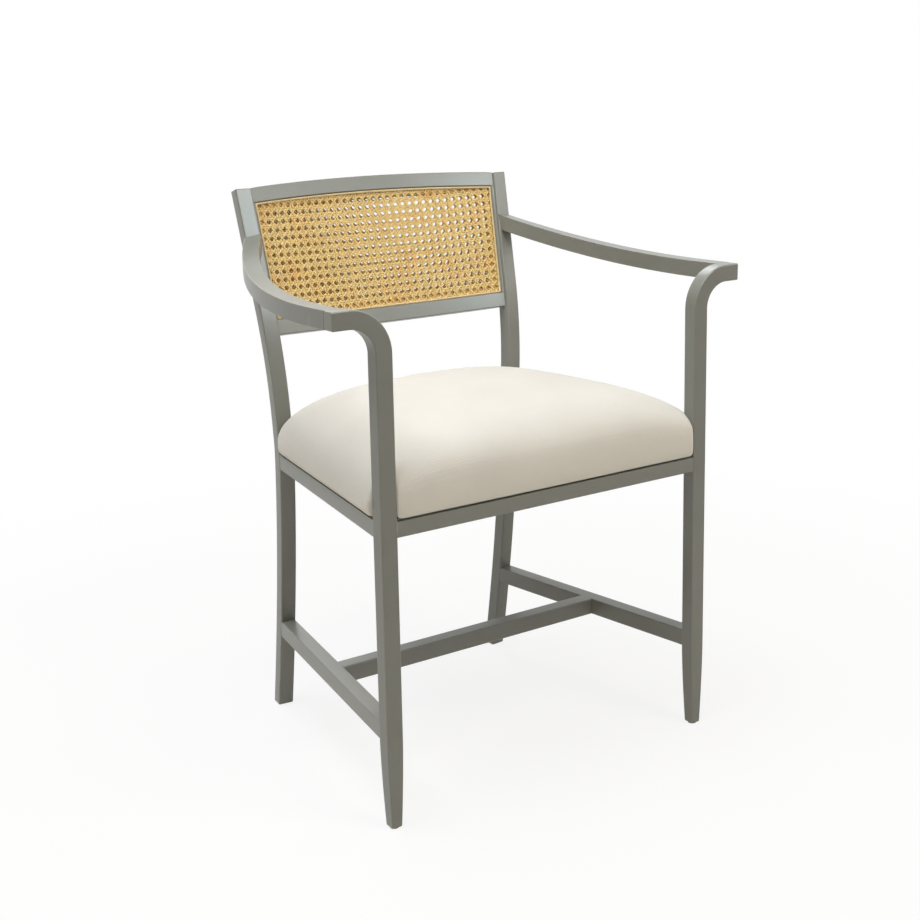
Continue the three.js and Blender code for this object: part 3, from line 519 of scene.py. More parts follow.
def rear_outer(height):
    """Outer face of a rear leg at a height."""
    return REAR_HALF_WIDTH + POST_LEAN * max(0, (height - RAIL_TOP) / (POST_TOP - RAIL_TOP))


def front_leg_stations():
    """Stations from the foot up the leg, round the scroll and out to its end."""
    stations = []
    steps = 10
    for i in range(steps + 1):
        z = GLIDE_HEIGHT + (STRETCHER_BOTTOM - GLIDE_HEIGHT) * i / steps
        taper = (1 - z / STRETCHER_BOTTOM) ** 1.5
        outer = front_outer(z) - FOOT_SIDE * taper
        inner = front_outer(z) - LEG_WIDTH + FOOT_SIDE * taper
        front = FOOT_FRONT * taper
        rear = LEG_DEPTH - FOOT_REAR * taper
        stations.append(station((outer, front, z), (inner - outer, 0, 0), (0, rear - front, 0)))
    centre = front_outer(SCROLL_HEIGHT) - LEG_WIDTH + SCROLL_RADIUS
    steps = 28
    for i in range(steps + 1):
        angle = math.pi - math.pi / 2 * i / steps
        reach = SCROLL_RADIUS - LEG_WIDTH
        way = Vector((math.cos(angle), 0, math.sin(angle)))
        origin = Vector((centre, 0, SCROLL_HEIGHT)) + way * reach
        stations.append(station(origin, way * LEG_WIDTH, (0, LEG_DEPTH, 0)))
    end = (SCROLL_END, 0, SCROLL_TOP - LEG_WIDTH)
    stations.append(station(end, (0, 0, LEG_WIDTH), (0, LEG_DEPTH, 0)))
    return stations


def bezier(points, t):
    """Point and direction at t on a curve through two to four control points."""
    rows = [Vector(p) for p in points]
    while len(rows) > 2:
        rows = [a.lerp(b, t) for a, b in zip(rows, rows[1:])]
    return rows[0].lerp(rows[1], t), (rows[1] - rows[0]).normalized()


def rear_leg_line():
    """Front and outer edge of a rear leg in side view, from foot to top, with its direction."""
    foot = (WAIST_DEPTH + REAR_SPLAY, 0)
    waist = (WAIST_DEPTH, WAIST_HEIGHT)
    bend = Vector((WAIST_DEPTH, POST_BEND_HEIGHT))
    along = Vector((math.sin(BACK_RAKE), math.cos(BACK_RAKE)))
    bent = bend + along * (POST_BEND_HEIGHT - WAIST_HEIGHT)
    steps = 20
    sweep_back = (foot, (WAIST_DEPTH, REAR_BEND_HEIGHT), waist)
    lower = [bezier(sweep_back, i / steps) for i in range(steps + 1)]
    upper = [bezier((waist, bend, bent), i / steps) for i in range(1, steps + 1)]
    top = WAIST_DEPTH + (POST_TOP - POST_BEND_HEIGHT) * math.tan(BACK_RAKE)
    return lower + upper + [(Vector((top, POST_TOP)), along)]


def rear_leg_stations():
    """Stations from the foot to the top of a back post."""
    sine, cosine = math.sin(POST_TOE), math.cos(POST_TOE)
    stations = []
    for i, (point, along) in enumerate(rear_leg_line()):
        behind = Vector((along.y, -along.x))

        def corner(depth, width):
            y = point.x + behind.x * depth
            z = point.y + behind.y * depth
            if i == 0:
                y += along.x / along.y * (GLIDE_HEIGHT - z)
                z = GLIDE_HEIGHT
            x = rear_outer(point.y)
            return Vector((x - width * cosine - depth * sine, y - width * sine, z))

        origin = corner(0, 0)
        across, back = corner(0, POST_WIDTH) - origin, corner(POST_DEPTH, 0) - origin
        stations.append(station(origin, across, back))
    return stations


def rear_front(height):
    """Depth of a rear leg's front and outer edge at a height."""
    line = [point for point, along in rear_leg_line()]
    for low, high in zip(line, line[1:]):
        if high.y >= height:
            return low.x + (high.x - low.x) * (height - low.y) / (high.y - low.y)
    return line[-1].x


def side_line(height):
    """Start, end, direction and inward direction of a side member's outer line in plan."""
    start = Vector((front_outer(height), LEG_DEPTH, 0))
    end = Vector((rear_outer(height), rear_front(height), 0))
    along = (end - start).normalized()
    return start, end, along, Vector((-along.y, along.x, 0))


def side_stations(height, thickness, bottom, top):
    """Stations of a straight side member between the legs."""
    start, end, along, inward = side_line(height)
    low = Vector((0, 0, bottom)) + inward * FLUSH_SET
    ends = (start - along * INTO_LEG + low, end + along * INTO_LEG + low)
    return [station(origin, inward * thickness, (0, 0, top - bottom)) for origin in ends]


def rebated(thickness, drop):
    """A seat rail's outline, cut back along its upper outer edge where the cover's lip hangs."""
    wall, ledge = REBATE_IN / thickness, 1 - drop / (RAIL_TOP - RAIL_BOTTOM)
    return ((0, 0), (1, 0), (1, 1), (wall, 1), (wall, ledge), (0, ledge))


def on_ledge(drop):
    """Tells of a point whether it lies on the ledge of a rail's rebate."""
    return lambda co: abs(co.z - RAIL_TOP + drop) < NEAR


def cross_stations(half, front, thickness, bottom, top):
    """Stations of a straight member across the chair."""
    across, up = (0, thickness, 0), (0, 0, top - bottom)
    return [station((x, front, bottom), across, up) for x in (-half, half)]


def arm_stations(into_scroll):
    """Stations from inside the back post along the arm to just inside the back of the scroll."""
    start = Vector((rear_outer(ARM_AT_POST) + ARM_OVERHANG, rear_front(ARM_AT_POST)))
    plan = (
        start,
        (SCROLL_END + ARM_BOW, start.y * ARM_BOW_SHARE),
        (SCROLL_END, start.y * ARM_FORE_SHARE),
        (SCROLL_END, LEG_DEPTH),
    )
    level = ((0, ARM_AT_POST), (0, SCROLL_TOP - ARM_DIP), (0, SCROLL_TOP), (0, SCROLL_TOP))
    innermost = rear_outer(ARM_AT_POST) - POST_WIDTH * math.cos(POST_TOE) + SHEET_GAP
    steps = 36
    stations = []
    for i in range(-1, steps + 1):
        t = max(0, i / steps)
        outer, along = bezier(plan, t)
        top = bezier(level, t)[0].y
        if i < 0:
            fall = (ARM_AT_POST - SCROLL_TOP + ARM_DIP) / (Vector(plan[1]) - start).length
            outer = outer - along * ARM_HEEL
            top += fall * ARM_HEEL
        inner = outer + Vector((along.y, -along.x)) * ARM_WIDTH
        inner.x = max(inner.x, innermost)
        across = (inner - outer).to_3d()
        stations.append(station((outer.x, outer.y, top), across, (0, 0, -ARM_HEIGHT)))
    stations.append(Matrix.Translation((0, -into_scroll, 0)) @ stations[-1])
    return stations


def trim_at_post(bm):
    """Cuts the arm's stock off just inside the post's front face and closes the cut."""
    line = rear_leg_line()
    low, high = line[-2][0], line[-1][0]
    rise = Vector((rear_outer(high.y) - rear_outer(low.y), high.x - low.x, high.y - low.y))
    across = Vector((-math.cos(POST_TOE), -math.sin(POST_TOE), 0))
    normal = rise.cross(across).normalized()
    normal *= math.copysign(1, normal.y)
    corner = Vector((rear_outer(high.y), high.x, high.y)) + normal * INTO_NEIGHBOUR
    cut = cut_off(bm, corner, normal)
    edges = [item for item in cut["geom_cut"] if isinstance(item, bmesh.types.BMEdge)]
    bmesh.ops.contextual_create(bm, geom=edges)


# Back

def back_half(rise):
    """Half width between the posts at a height up the raked plane."""
    height = BACK_BASE_HEIGHT + rise * math.cos(BACK_RAKE)
    return rear_outer(height) - POST_WIDTH * math.cos(POST_TOE)


BACK_MIDDLE_HALF = back_half(LOWER_RAIL_HEIGHT + BACK_OPENING / 2)
STILE_INNER = BACK_MIDDLE_HALF - STILE_FACE
BACK_BASE_DEPTH = (
    WAIST_DEPTH + (BACK_BASE_HEIGHT - POST_BEND_HEIGHT) * math.tan(BACK_RAKE) + BACK_FACE_INSET
)


def bend_to_back(bm):
    """Bends flat geometry, given across, behind and up, onto the raked and hollowed back."""
    sine, cosine = math.sin(BACK_RAKE), math.cos(BACK_RAKE)
    for vert in bm.verts:
        across, behind, rise = vert.co
        share = min(max((rise - LOWER_RAIL_HEIGHT) / BACK_OPENING, 0), 1)
        x = across * back_half(rise) / BACK_MIDDLE_HALF
        fall = 1 - (x / BACK_MIDDLE_HALF) ** 2
        h = rise + CREST_ARCH * fall * share
        d = behind + BACK_SAG * fall
        depth = BACK_BASE_DEPTH + h * sine + d * cosine
        vert.co = (x, depth, BACK_BASE_HEIGHT + h * cosine - d * sine)


def bare_ledge(bm):
    """Leaves the faces of the ledge behind the cane bare."""
    for face in bm.faces:
        if all(LEDGE_DEPTH - NEAR < vert.co.y < LEDGE_FAR + NEAR for vert in face.verts):
            face.material_index = 1


def back_rail(bm, bottom, top, ledge_start, ledge_end):
    """A rail across the back with the ledge that backs the cane's edge."""
    near, far, rear = LEDGE_DEPTH, LEDGE_FAR, BACK_THICKNESS
    if ledge_end > top:
        outline = ((0, bottom), (rear, bottom), (rear, top), (far, top),
                   (far, ledge_end), (near, ledge_end), (near, top), (0, top))
    else:
        outline = ((0, bottom), (near, bottom), (near, ledge_start), (far, ledge_start),
                   (far, bottom), (rear, bottom), (rear, top), (0, top))
    half = BACK_MIDDLE_HALF + INTO_NEIGHBOUR
    steps = 32
    places = [half * (2 * i / steps - 1) for i in range(steps + 1)]
    sweep(bm, outline, [station((x, 0, 0), (0, 1, 0), (0, 0, 1)) for x in places])
    bare_ledge(bm)


def back_stile(bm):
    """A narrow stile against the post, with its ledge."""
    near, far = LEDGE_DEPTH, LEDGE_FAR
    outer = BACK_MIDDLE_HALF + INTO_NEIGHBOUR
    inner = STILE_INNER - LEDGE
    outline = ((STILE_INNER, 0), (outer, 0), (outer, BACK_THICKNESS), (STILE_INNER, BACK_THICKNESS),
               (STILE_INNER, far), (inner, far), (inner, near), (STILE_INNER, near))
    steps = 8
    low = LOWER_RAIL_HEIGHT - INTO_NEIGHBOUR
    high = CREST_BOTTOM + INTO_NEIGHBOUR
    places = [low + (high - low) * i / steps for i in range(steps + 1)]
    sweep(bm, outline, [station((0, 0, h), (1, 0, 0), (0, 1, 0)) for h in places])
    bare_ledge(bm)


def bead_ring(bm, front, facing):
    """A half-round strip, mitred round the cane's edge; facing is -1 in front, 1 behind."""
    half = STILE_INNER - SHEET_GAP
    bottom = LOWER_RAIL_HEIGHT + SHEET_GAP
    top = CREST_BOTTOM - SHEET_GAP
    steps = 24
    outline = [(0, 0), (1, 0), (1, 0.45), (0.8, 0.85), (0.5, 1), (0.2, 0.85), (0, 0.45)]
    corners = [(-half, bottom), (half, bottom), (half, top), (-half, top)]
    inward = [(1, 1), (-1, 1), (-1, -1), (1, -1)]
    sides = [(0, 1), (-1, 0), (0, -1), (1, 0)]
    counts = [steps, steps // 3, steps, steps // 3]
    stations = []
    for k in range(4):
        ax, ah = corners[k]
        bx, bh = corners[(k + 1) % 4]
        for i in range(counts[k]):
            share = i / counts[k]
            way = inward[k] if i == 0 else sides[k]
            origin = (ax + (bx - ax) * share, front, ah + (bh - ah) * share)
            across = (way[0] * BEAD_WIDTH, 0, way[1] * BEAD_WIDTH)
            stations.append(station(origin, across, (0, facing * BEAD_THICKNESS, 0)))
    sweep(bm, outline, stations, capped=False)
    open_edges = [e for e in bm.edges if e.is_boundary]
    bmesh.ops.bridge_loops(bm, edges=open_edges)


def cane_cell(bm, sizes, pitch):
    """One mesh of six-way cane: two upright and two level strands, and one along each diagonal."""
    width, thick = sizes.strand_width, sizes.strand_thickness
    spread = width / 2 + STRAND_GAP
    outline = ((-0.5, -0.35), (0.5, -0.35), (0.3, 0.45), (-0.3, 0.45))
    half = pitch / 2

    def strand(start, way, stops):
        across = Vector((way.z, 0, -way.x)) * width
        places = [start + way * stop + Vector((0, -level * thick, 0)) for stop, level in stops]
        stations = [station(place, across, (0, -thick, 0)) for place in places]
        sweep(bm, outline, stations, capped=False)

    right, up = Vector((1, 0, 0)), Vector((0, 0, 1))
    for side in (1, -1):
        strand(right * spread * side, up, ((-half, 0), (-spread, -side), (spread, side), (half, 0)))
        strand(up * spread * side, right, ((-half, 0), (half, 0)))
    reach = pitch * math.sqrt(2)
    strand(right * half, (right + up).normalized(), ((0, 1), (reach / 2, -1), (reach, 1)))
    strand(right * half, (up - right).normalized(), ((0, -1), (reach / 2, 1), (reach, -1)))


def straighten_for_back(bm):
    """Moves flat geometry so that its rows stay straight when it is bent to the arched back."""
    for vert in bm.verts:
        x, behind, height = vert.co
        lift = CREST_ARCH * (1 - (x / BACK_MIDDLE_HALF) ** 2) / BACK_OPENING
        rise = (height + lift * LOWER_RAIL_HEIGHT) / (1 + lift)
        vert.co = (x * BACK_MIDDLE_HALF / back_half(rise), behind, rise)


def repeated(bm, geom, step, reach):
    """Copies geometry by a step up to reach times either way, and returns all of it."""
    grown = list(geom)
    for i in range(-reach, reach + 1):
        if i != 0:
            copy = bmesh.ops.duplicate(bm, geom=geom)["geom"]
            verts = [item for item in copy if isinstance(item, bmesh.types.BMVert)]
            bmesh.ops.translate(bm, vec=[i * part for part in step], verts=verts)
            grown += copy
    return grown


def cane_sheet(bm, sizes, middle, lay):
    """Weaves a sheet from repeated meshes, lays it in the opening and cuts it at its border."""
    pitch = sizes.mesh_pitch
    wide, tall, first_x, first_h, turn = lay
    half = STILE_INNER - SHEET_GAP
    bottom = LOWER_RAIL_HEIGHT + SHEET_GAP
    top = CREST_BOTTOM - SHEET_GAP
    cane_cell(bm, sizes, pitch)
    cell = bm.verts[:] + bm.edges[:] + bm.faces[:]
    row = repeated(bm, cell, (pitch, 0, 0), math.ceil(half / pitch) + 2)
    repeated(bm, row, (0, 0, pitch), math.ceil((top - bottom) / 2 / pitch) + 2)
    bmesh.ops.remove_doubles(bm, verts=bm.verts[:], dist=2e-5)
    hole = Matrix.Translation((first_x - wide * pitch / 2, middle, first_h - tall * pitch / 2))
    lie = Matrix.Rotation(-turn, 4, "Y") @ hole @ Matrix.Diagonal((wide, 1, tall, 1))
    centre = Matrix.Translation((0, 0, (bottom + top) / 2))
    bmesh.ops.transform(bm, matrix=centre @ lie, verts=bm.verts[:])
    straighten_for_back(bm)
    borders = (((half, 0, 0), (1, 0, 0)), ((-half, 0, 0), (-1, 0, 0)),
               ((0, 0, top), (0, 0, 1)), ((0, 0, bottom), (0, 0, -1)))
    for place, normal in borders:
        cut_off(bm, place, normal)
    bmesh.ops.holes_fill(bm, edges=[e for e in bm.edges if e.is_boundary], sides=12)


# Seat

def seat_half(depth):
    """Half width across the side rails' outer line at a depth."""
    start, _, along, _ = side_line(RAIL_MIDDLE)
    return start.x + (depth - start.y) * along.x / along.y


def rear_rail_front():
    """Depth of the rear seat rail's front face."""
    return rear_front(RAIL_MIDDLE) - POST_WIDTH * math.sin(POST_TOE) + REAR_RAIL_INSET


def crowned_pad(bm, slack):
    """A closed pad over the rails: a crowned top, and a full lip that turns in to their edges."""
    columns, rows = 72, 64
    bmesh.ops.create_grid(bm, x_segments=columns, y_segments=rows, size=1)
    front = slack - LIP_FRONT
    rear = rear_rail_front() + SEAT_REAR_REACH + LIP_REAR - slack
    middle, deep = (front + rear) / 2, (rear - front) / 2
    for vert in bm.verts:
        a, b = (math.copysign(1 - (1 - abs(t)) ** 2, t) for t in vert.co.xy)
        y = middle + b * deep
        dome = (max(0, 1 - abs(a) ** CROWN_POWER_ACROSS) ** (1 / CROWN_POWER_ACROSS)
                * max(0, 1 - abs(b) ** CROWN_POWER_DEEP) ** (1 / CROWN_POWER_DEEP))
        z = RAIL_TOP + LIP_HEIGHT + (SEAT_CROWN - slack) * dome
        vert.co = (a * (seat_half(y) + LIP_SIDE - slack), y, z)
    steps = 4
    for i in range(1, steps + 1):
        angles = [math.pi / 2 * (i + back) / steps for back in (-1, 0)]
        draw = math.cos(angles[0]) - math.cos(angles[1])
        drop = math.sin(angles[1]) - math.sin(angles[0])
        rim = [e for e in bm.edges if e.is_boundary]
        grown = bmesh.ops.extrude_edge_only(bm, edges=rim)["geom"]
        for vert in (item for item in grown if isinstance(item, bmesh.types.BMVert)):
            half = seat_half(vert.co.y)
            end = LIP_FRONT if vert.co.y < middle else LIP_REAR
            vert.co.x *= 1 - LIP_TURN * LIP_SIDE * draw / half
            vert.co.y = middle + (vert.co.y - middle) * (1 - LIP_TURN * end * draw / deep)
            vert.co.z -= (LIP_HEIGHT + HEM_SINK) * drop
    bmesh.ops.contextual_create(bm, geom=[e for e in bm.edges if e.is_boundary])
    bmesh.ops.recalc_face_normals(bm, faces=bm.faces[:])


def clamp(value):
    """Keeps a value between nought and one."""
    return min(max(value, 0), 1)


def hem_hang(co):
    """How far the lip hangs down before and beside the rails' outer faces."""
    front = HANG_FRONT * clamp((HANG_START - co.y) / HANG_REACH)
    side = HANG_SIDE * clamp((HANG_START + abs(co.x) - seat_half(co.y)) / HANG_REACH)
    return max(front, side) * clamp(1 - (co.z - RAIL_TOP) / HANG_FADE)


def leg_spaces():
    """Upright boxes, in plan from low to high corner, that legs and posts take out of the seat.

    The cover is pressed a little way into each.
    """
    front_inner = front_outer(RAIL_TOP) - LEG_WIDTH + LEG_PRESS
    rear_inner = (REAR_HALF_WIDTH - POST_WIDTH * math.cos(POST_TOE)
                  - POST_DEPTH * math.sin(POST_TOE) + LEG_PRESS)
    rear_start = WAIST_DEPTH - POST_WIDTH * math.sin(POST_TOE) + LEG_PRESS
    wide, deep = FRONT_HALF_WIDTH + LEG_WIDTH, WAIST_DEPTH + 2 * POST_DEPTH
    return (
        (front_inner, -LEG_DEPTH, wide, LEG_DEPTH - LEG_PRESS),
        (rear_inner, rear_start, wide, deep),
    )


def notch_object():
    """Boxes for the four leg spaces, as one object to cut with."""
    bm = bmesh.new()
    for x0, y0, x1, y1 in leg_spaces():
        for side in (1, -1):
            ends = [station((x0 * side, y0, z), ((x1 - x0) * side, 0, 0), (0, y1 - y0, 0))
                    for z in (RAIL_TOP - 0.02, RAIL_TOP + 0.2)]
            sweep(bm, SQUARE, ends)
    bmesh.ops.recalc_face_normals(bm, faces=bm.faces[:])
    return plain_object("leg_spaces", bm)


def apply_modifiers(obj):
    """Puts the result of an object's modifiers in its mesh."""
    graph = bpy.context.evaluated_depsgraph_get()
    mesh = bpy.data.meshes.new_from_object(obj.evaluated_get(graph))
    obj.modifiers.clear()
    obj.data = mesh


def remesh(obj, size):
    """Gives an object an even grid of faces."""
    even = obj.modifiers.new("Even Grid", "REMESH")
    even.mode = "VOXEL"
    even.voxel_size = size
    apply_modifiers(obj)


def smooth_verts(bm, verts, turns):
    """Evens vertices out against their neighbours, a number of times."""
    for turn in range(turns):
        bmesh.ops.smooth_vert(
            bm, verts=verts, factor=0.5, use_axis_x=True, use_axis_y=True, use_axis_z=True)


def swell_cover(obj):
    """Blows the cover up as cloth over its stuffing, held where it is stapled under its edge.

    How far it moved is evened out before it is kept, which takes the simulation's ripples away.
    """
    start = [vert.co.copy() for vert in obj.data.vertices]
    held = obj.vertex_groups.new(name="held")
    low = [i for i, co in enumerate(start) if co.z < RAIL_TOP + HELD_HEIGHT]
    held.add(low, 1.0, "REPLACE")
    cloth = obj.modifiers.new("Cover", "CLOTH")
    for name, value in COVER_CLOTH.items():
        setattr(cloth.settings, name, value)
    cloth.settings.effector_weights.gravity = 0
    cloth.collision_settings.use_collision = False
    cloth.point_cache.frame_start = 1
    cloth.point_cache.frame_end = SWELL_FRAMES
    for step in range(SWELL_FRAMES):
        bpy.context.scene.frame_set(step + 1)
    apply_modifiers(obj)
    bpy.context.scene.frame_set(1)
    bm = bmesh.new()
    bm.from_mesh(obj.data)
    for vert, before in zip(bm.verts, start):
        vert.co -= before
    free = [vert for vert, before in zip(bm.verts, start) if before.z >= RAIL_TOP + HELD_HEIGHT]
    smooth_verts(bm, free, SMOOTH_TURNS)
    for vert, before in zip(bm.verts, start):
        moved = vert.co
        if moved.length > SWELL_LIMIT:
            moved = moved.normalized() * SWELL_LIMIT
        vert.co = before + moved
    bm.to_mesh(obj.data)
    bm.free()


def clear_of_legs(obj):
    """Moves what swelled into a leg's space back out of it."""
    for vert in obj.data.vertices:
        for x0, y0, x1, y1 in leg_spaces():
            side = math.copysign(1, vert.co.x)
            x, y = abs(vert.co.x), vert.co.y
            if x > x0 and y0 < y < y1:
                gaps = (x - x0, y1 - y if y0 < 0 else y - y0)
                if gaps[0] < gaps[1]:
                    vert.co.x = x0 * side
                else:
                    vert.co.y = y1 if y0 < 0 else y0


class DressOperator:
    """Common to the armchair's operators: they belong to an open scene."""

    bl_options = {"REGISTER", "UNDO"}


class ARMCHAIR_OT_finishes(DressOperator, bpy.types.Operator):
    """Make the finishes that the pieces share"""

    bl_idname = "armchair.finishes"
    bl_label = "Finishes"

    def execute(self, context):
        colours = context.scene.armchair_colours
        painted_wood(tuple(colours.paint))
        woven_cane(tuple(colours.cane))
        rattan_bead(tuple(colours.bead))
        seat_linen(tuple(colours.cloth))
        bare_beech("masked_beech", "d2a65c", "eec67c", (0.1, 1.0, 1.0))
        return {"FINISHED"}


class ARMCHAIR_OT_front_legs(DressOperator, bpy.types.Operator):
    """Make the two front legs with their scrolls"""

    bl_idname = "armchair.front_legs"
    bl_label = "Front Legs"

    def execute(self, context):
        stations = front_leg_stations()
        sizes = context.scene.armchair_sizes
        painted_pair(lambda bm: sweep(bm, SQUARE, stations), sizes, "front_leg")
        return {"FINISHED"}


class ARMCHAIR_OT_rear_legs(DressOperator, bpy.types.Operator):
    """Make the two rear legs with their back posts"""

    bl_idname = "armchair.rear_legs"
    bl_label = "Rear Legs"

    def execute(self, context):
        stations = rear_leg_stations()
        sizes = context.scene.armchair_sizes
        painted_pair(lambda bm: sweep(bm, SQUARE, stations), sizes, "rear_leg")
        return {"FINISHED"}


class ARMCHAIR_OT_seat_rails(DressOperator, bpy.types.Operator):
    """Make the four rails under the seat"""

    bl_idname = "armchair.seat_rails"
    bl_label = "Seat Rails"

    def execute(self, context):
        sizes = context.scene.armchair_sizes
        ends = (RAIL_BOTTOM, RAIL_TOP)
        side = side_stations(RAIL_MIDDLE, SIDE_RAIL_THICKNESS, *ends)
        outline = rebated(SIDE_RAIL_THICKNESS, REBATE_SIDE)
        ledge = on_ledge(REBATE_SIDE)
        painted_pair(lambda bm: sweep(bm, outline, side), sizes, "side_seat_rail", ledge)
        half = front_outer(RAIL_MIDDLE) - LEG_WIDTH + INTO_NEIGHBOUR
        front = cross_stations(half, FLUSH_SET, FRONT_RAIL_THICKNESS, *ends)
        outline = rebated(FRONT_RAIL_THICKNESS, REBATE_FRONT)
        painted_bar(outline, front, sizes, "front_seat_rail", on_ledge(REBATE_FRONT))
        half = rear_outer(RAIL_MIDDLE) - POST_WIDTH + INTO_NEIGHBOUR
        rear = cross_stations(half, rear_rail_front(), REAR_RAIL_THICKNESS, *ends)
        painted_bar(SQUARE, rear, sizes, "rear_seat_rail")
        return {"FINISHED"}


class ARMCHAIR_OT_stretchers(DressOperator, bpy.types.Operator):
    """Make the side stretchers and the cross stretcher between them"""

    bl_idname = "armchair.stretchers"
    bl_label = "Stretchers"

    def execute(self, context):
        sizes = context.scene.armchair_sizes
        ends = (STRETCHER_BOTTOM, STRETCHER_TOP)
        side = side_stations(STRETCHER_MIDDLE, STRETCHER_THICKNESS, *ends)
        painted_pair(lambda bm: sweep(bm, SQUARE, side), sizes, "side_stretcher")
        start, _, along, inward = side_line(STRETCHER_MIDDLE)
        face = start + inward * (FLUSH_SET + STRETCHER_THICKNESS)
        half = face.x + (CROSS_FRONT - face.y) * along.x / along.y + INTO_NEIGHBOUR
        cross = cross_stations(half, CROSS_FRONT, CROSS_WIDTH, *ends)
        painted_bar(SQUARE, cross, sizes, "cross_stretcher")
        return {"FINISHED"}


class ARMCHAIR_OT_arms(DressOperator, bpy.types.Operator):
    """Make the two curved arms"""

    bl_idname = "armchair.arms"
    bl_label = "Arms"

    def execute(self, context):
        sizes = context.scene.armchair_sizes
        stations = arm_stations(sizes.edge_radius)
        end = LEG_DEPTH - sizes.edge_radius + NEAR

        def draw(bm):
            sweep(bm, SQUARE, stations)
            trim_at_post(bm)

        painted_pair(draw, sizes, "arm", lambda co: co.y < end)
        return {"FINISHED"}


class ARMCHAIR_OT_back_frame(DressOperator, bpy.types.Operator):
    """Make the crest rail, the lower back rail and the stiles"""

    bl_idname = "armchair.back_frame"
    bl_label = "Back Frame"

    def execute(self, context):
        sizes = context.scene.armchair_sizes
        rails = (
            ("crest_rail", CREST_BOTTOM, CREST_TOP, CREST_BOTTOM - LEDGE, CREST_BOTTOM),
            ("lower_back_rail", 0, LOWER_RAIL_HEIGHT, LOWER_RAIL_HEIGHT, LOWER_RAIL_HEIGHT + LEDGE),
        )
        for node, *heights in rails:
            bm = bmesh.new()
            back_rail(bm, *heights)
            bend_to_back(bm)
            painted(bm, sizes, node)

        def draw(bm):
            back_stile(bm)
            bend_to_back(bm)

        painted_pair(draw, sizes, "back_stile")
        return {"FINISHED"}


class ARMCHAIR_OT_cane(DressOperator, bpy.types.Operator):
    """Weave the two sheets of cane and make the beads that hold them"""

    bl_idname = "armchair.cane"
    bl_label = "Cane"

    def execute(self, context):
        sizes = context.scene.armchair_sizes
        cane = bpy.data.materials["woven_rattan_peel"]
        reed = bpy.data.materials["flat_reed_bead"]
        depth = SHEET_FRONT + SHEET_THICKNESS / 2
        for side, middle in (("front", depth), ("rear", BACK_THICKNESS - depth)):
            bm = bmesh.new()
            cane_sheet(bm, sizes, middle, CANE_LAY[side])
            bend_to_back(bm)
            piece(f"woven_cane_{side}", bm, cane, "cane", f"cane_{side}")
        beads = (("front", BEAD_THICKNESS, -1), ("rear", BACK_THICKNESS - BEAD_THICKNESS, 1))
        for side, start, facing in beads:
            bm = bmesh.new()
            bead_ring(bm, start, facing)
            bend_to_back(bm)
            piece(f"reed_bead_{side}", bm, reed, "cane_bead", f"cane_bead_{side}")
        return {"FINISHED"}


class ARMCHAIR_OT_seat(DressOperator, bpy.types.Operator):
    """Make the crowned seat cushion as cloth over its stuffing"""

    bl_idname = "armchair.seat"
    bl_label = "Seat Cushion"

    def execute(self, context):
        sizes = context.scene.armchair_sizes
        bm = bmesh.new()
        crowned_pad(bm, sizes.swell)
        pad = plain_object("seat_cushion", bm)
        spaces = notch_object()
        notch = pad.modifiers.new("Leg Spaces", "BOOLEAN")
        notch.object = spaces
        apply_modifiers(pad)
        bpy.data.objects.remove(spaces)
        remesh(pad, sizes.voxel)
        swell_cover(pad)
        clear_of_legs(pad)
        bm = bmesh.new()
        bm.from_mesh(pad.data)
        bpy.data.objects.remove(pad)
        smooth_verts(bm, bm.verts[:], 4)
        for vert in bm.verts:
            vert.co.z = max(vert.co.z, RAIL_TOP + HEM_GAP) - hem_hang(vert.co)
        linen = bpy.data.materials["plain_woven_linen"]
        cushion = piece("linen_seat_cushion", bm, linen, "linen", "seat_cover", "seat_foam")
        smooth = cushion.modifiers.new("Smooth", "SUBSURF")
        smooth.levels = smooth.render_levels = 1
        return {"FINISHED"}


class ARMCHAIR_OT_inside(DressOperator, bpy.types.Operator):
    """Give the pieces inside the seat and under the feet their finishes"""

    bl_idname = "armchair.inside"
    bl_label = "Inside Pieces"

    def execute(self, context):
        block = bare_beech("sawn_beech", "b9935f", "dabd8e", (1.0, 0.12, 1.0))
        dowel = bare_beech("turned_beech_dowel", "cfae7b", "e8d0a4", (1.0, 0.1, 1.0))
        by_name = {
            "seat_board": layered_plywood(),
            "dust_cover": dust_cloth(),
            "corner_block": block,
            "dowel": dowel,
            "screw": zinc_steel(),
            "glide": glide_nylon(),
        }
        for name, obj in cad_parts.items():
            found = [material for word, material in by_name.items() if word in name]
            for slot in obj.material_slots:
                slot.material = found[0] if found else bpy.data.materials["satin_enamel_on_beech"]
        return {"FINISHED"}


class ARMCHAIR_OT_stage(DressOperator, bpy.types.Operator):
    """Make the floor, the lamps, the pale surroundings and the camera"""

    bl_idname = "armchair.stage"
    bl_label = "Stage"

    def execute(self, context):
        pale_floor()
        pale_world(context.scene)
        soft_lamps(context.scene)
        photograph_camera(context.scene)
        context.scene.view_settings.view_transform = "Standard"
        return {"FINISHED"}


def background_rays(tree):
    """Whether a ray comes from the camera, a reflection or something clear."""
    ray = add(tree, "LightPath").outputs
    seen = combine(tree, "MAXIMUM", ray["Is Camera Ray"], ray["Is Glossy Ray"])
    return combine(tree, "MAXIMUM", seen, ray["Is Transmission Ray"])


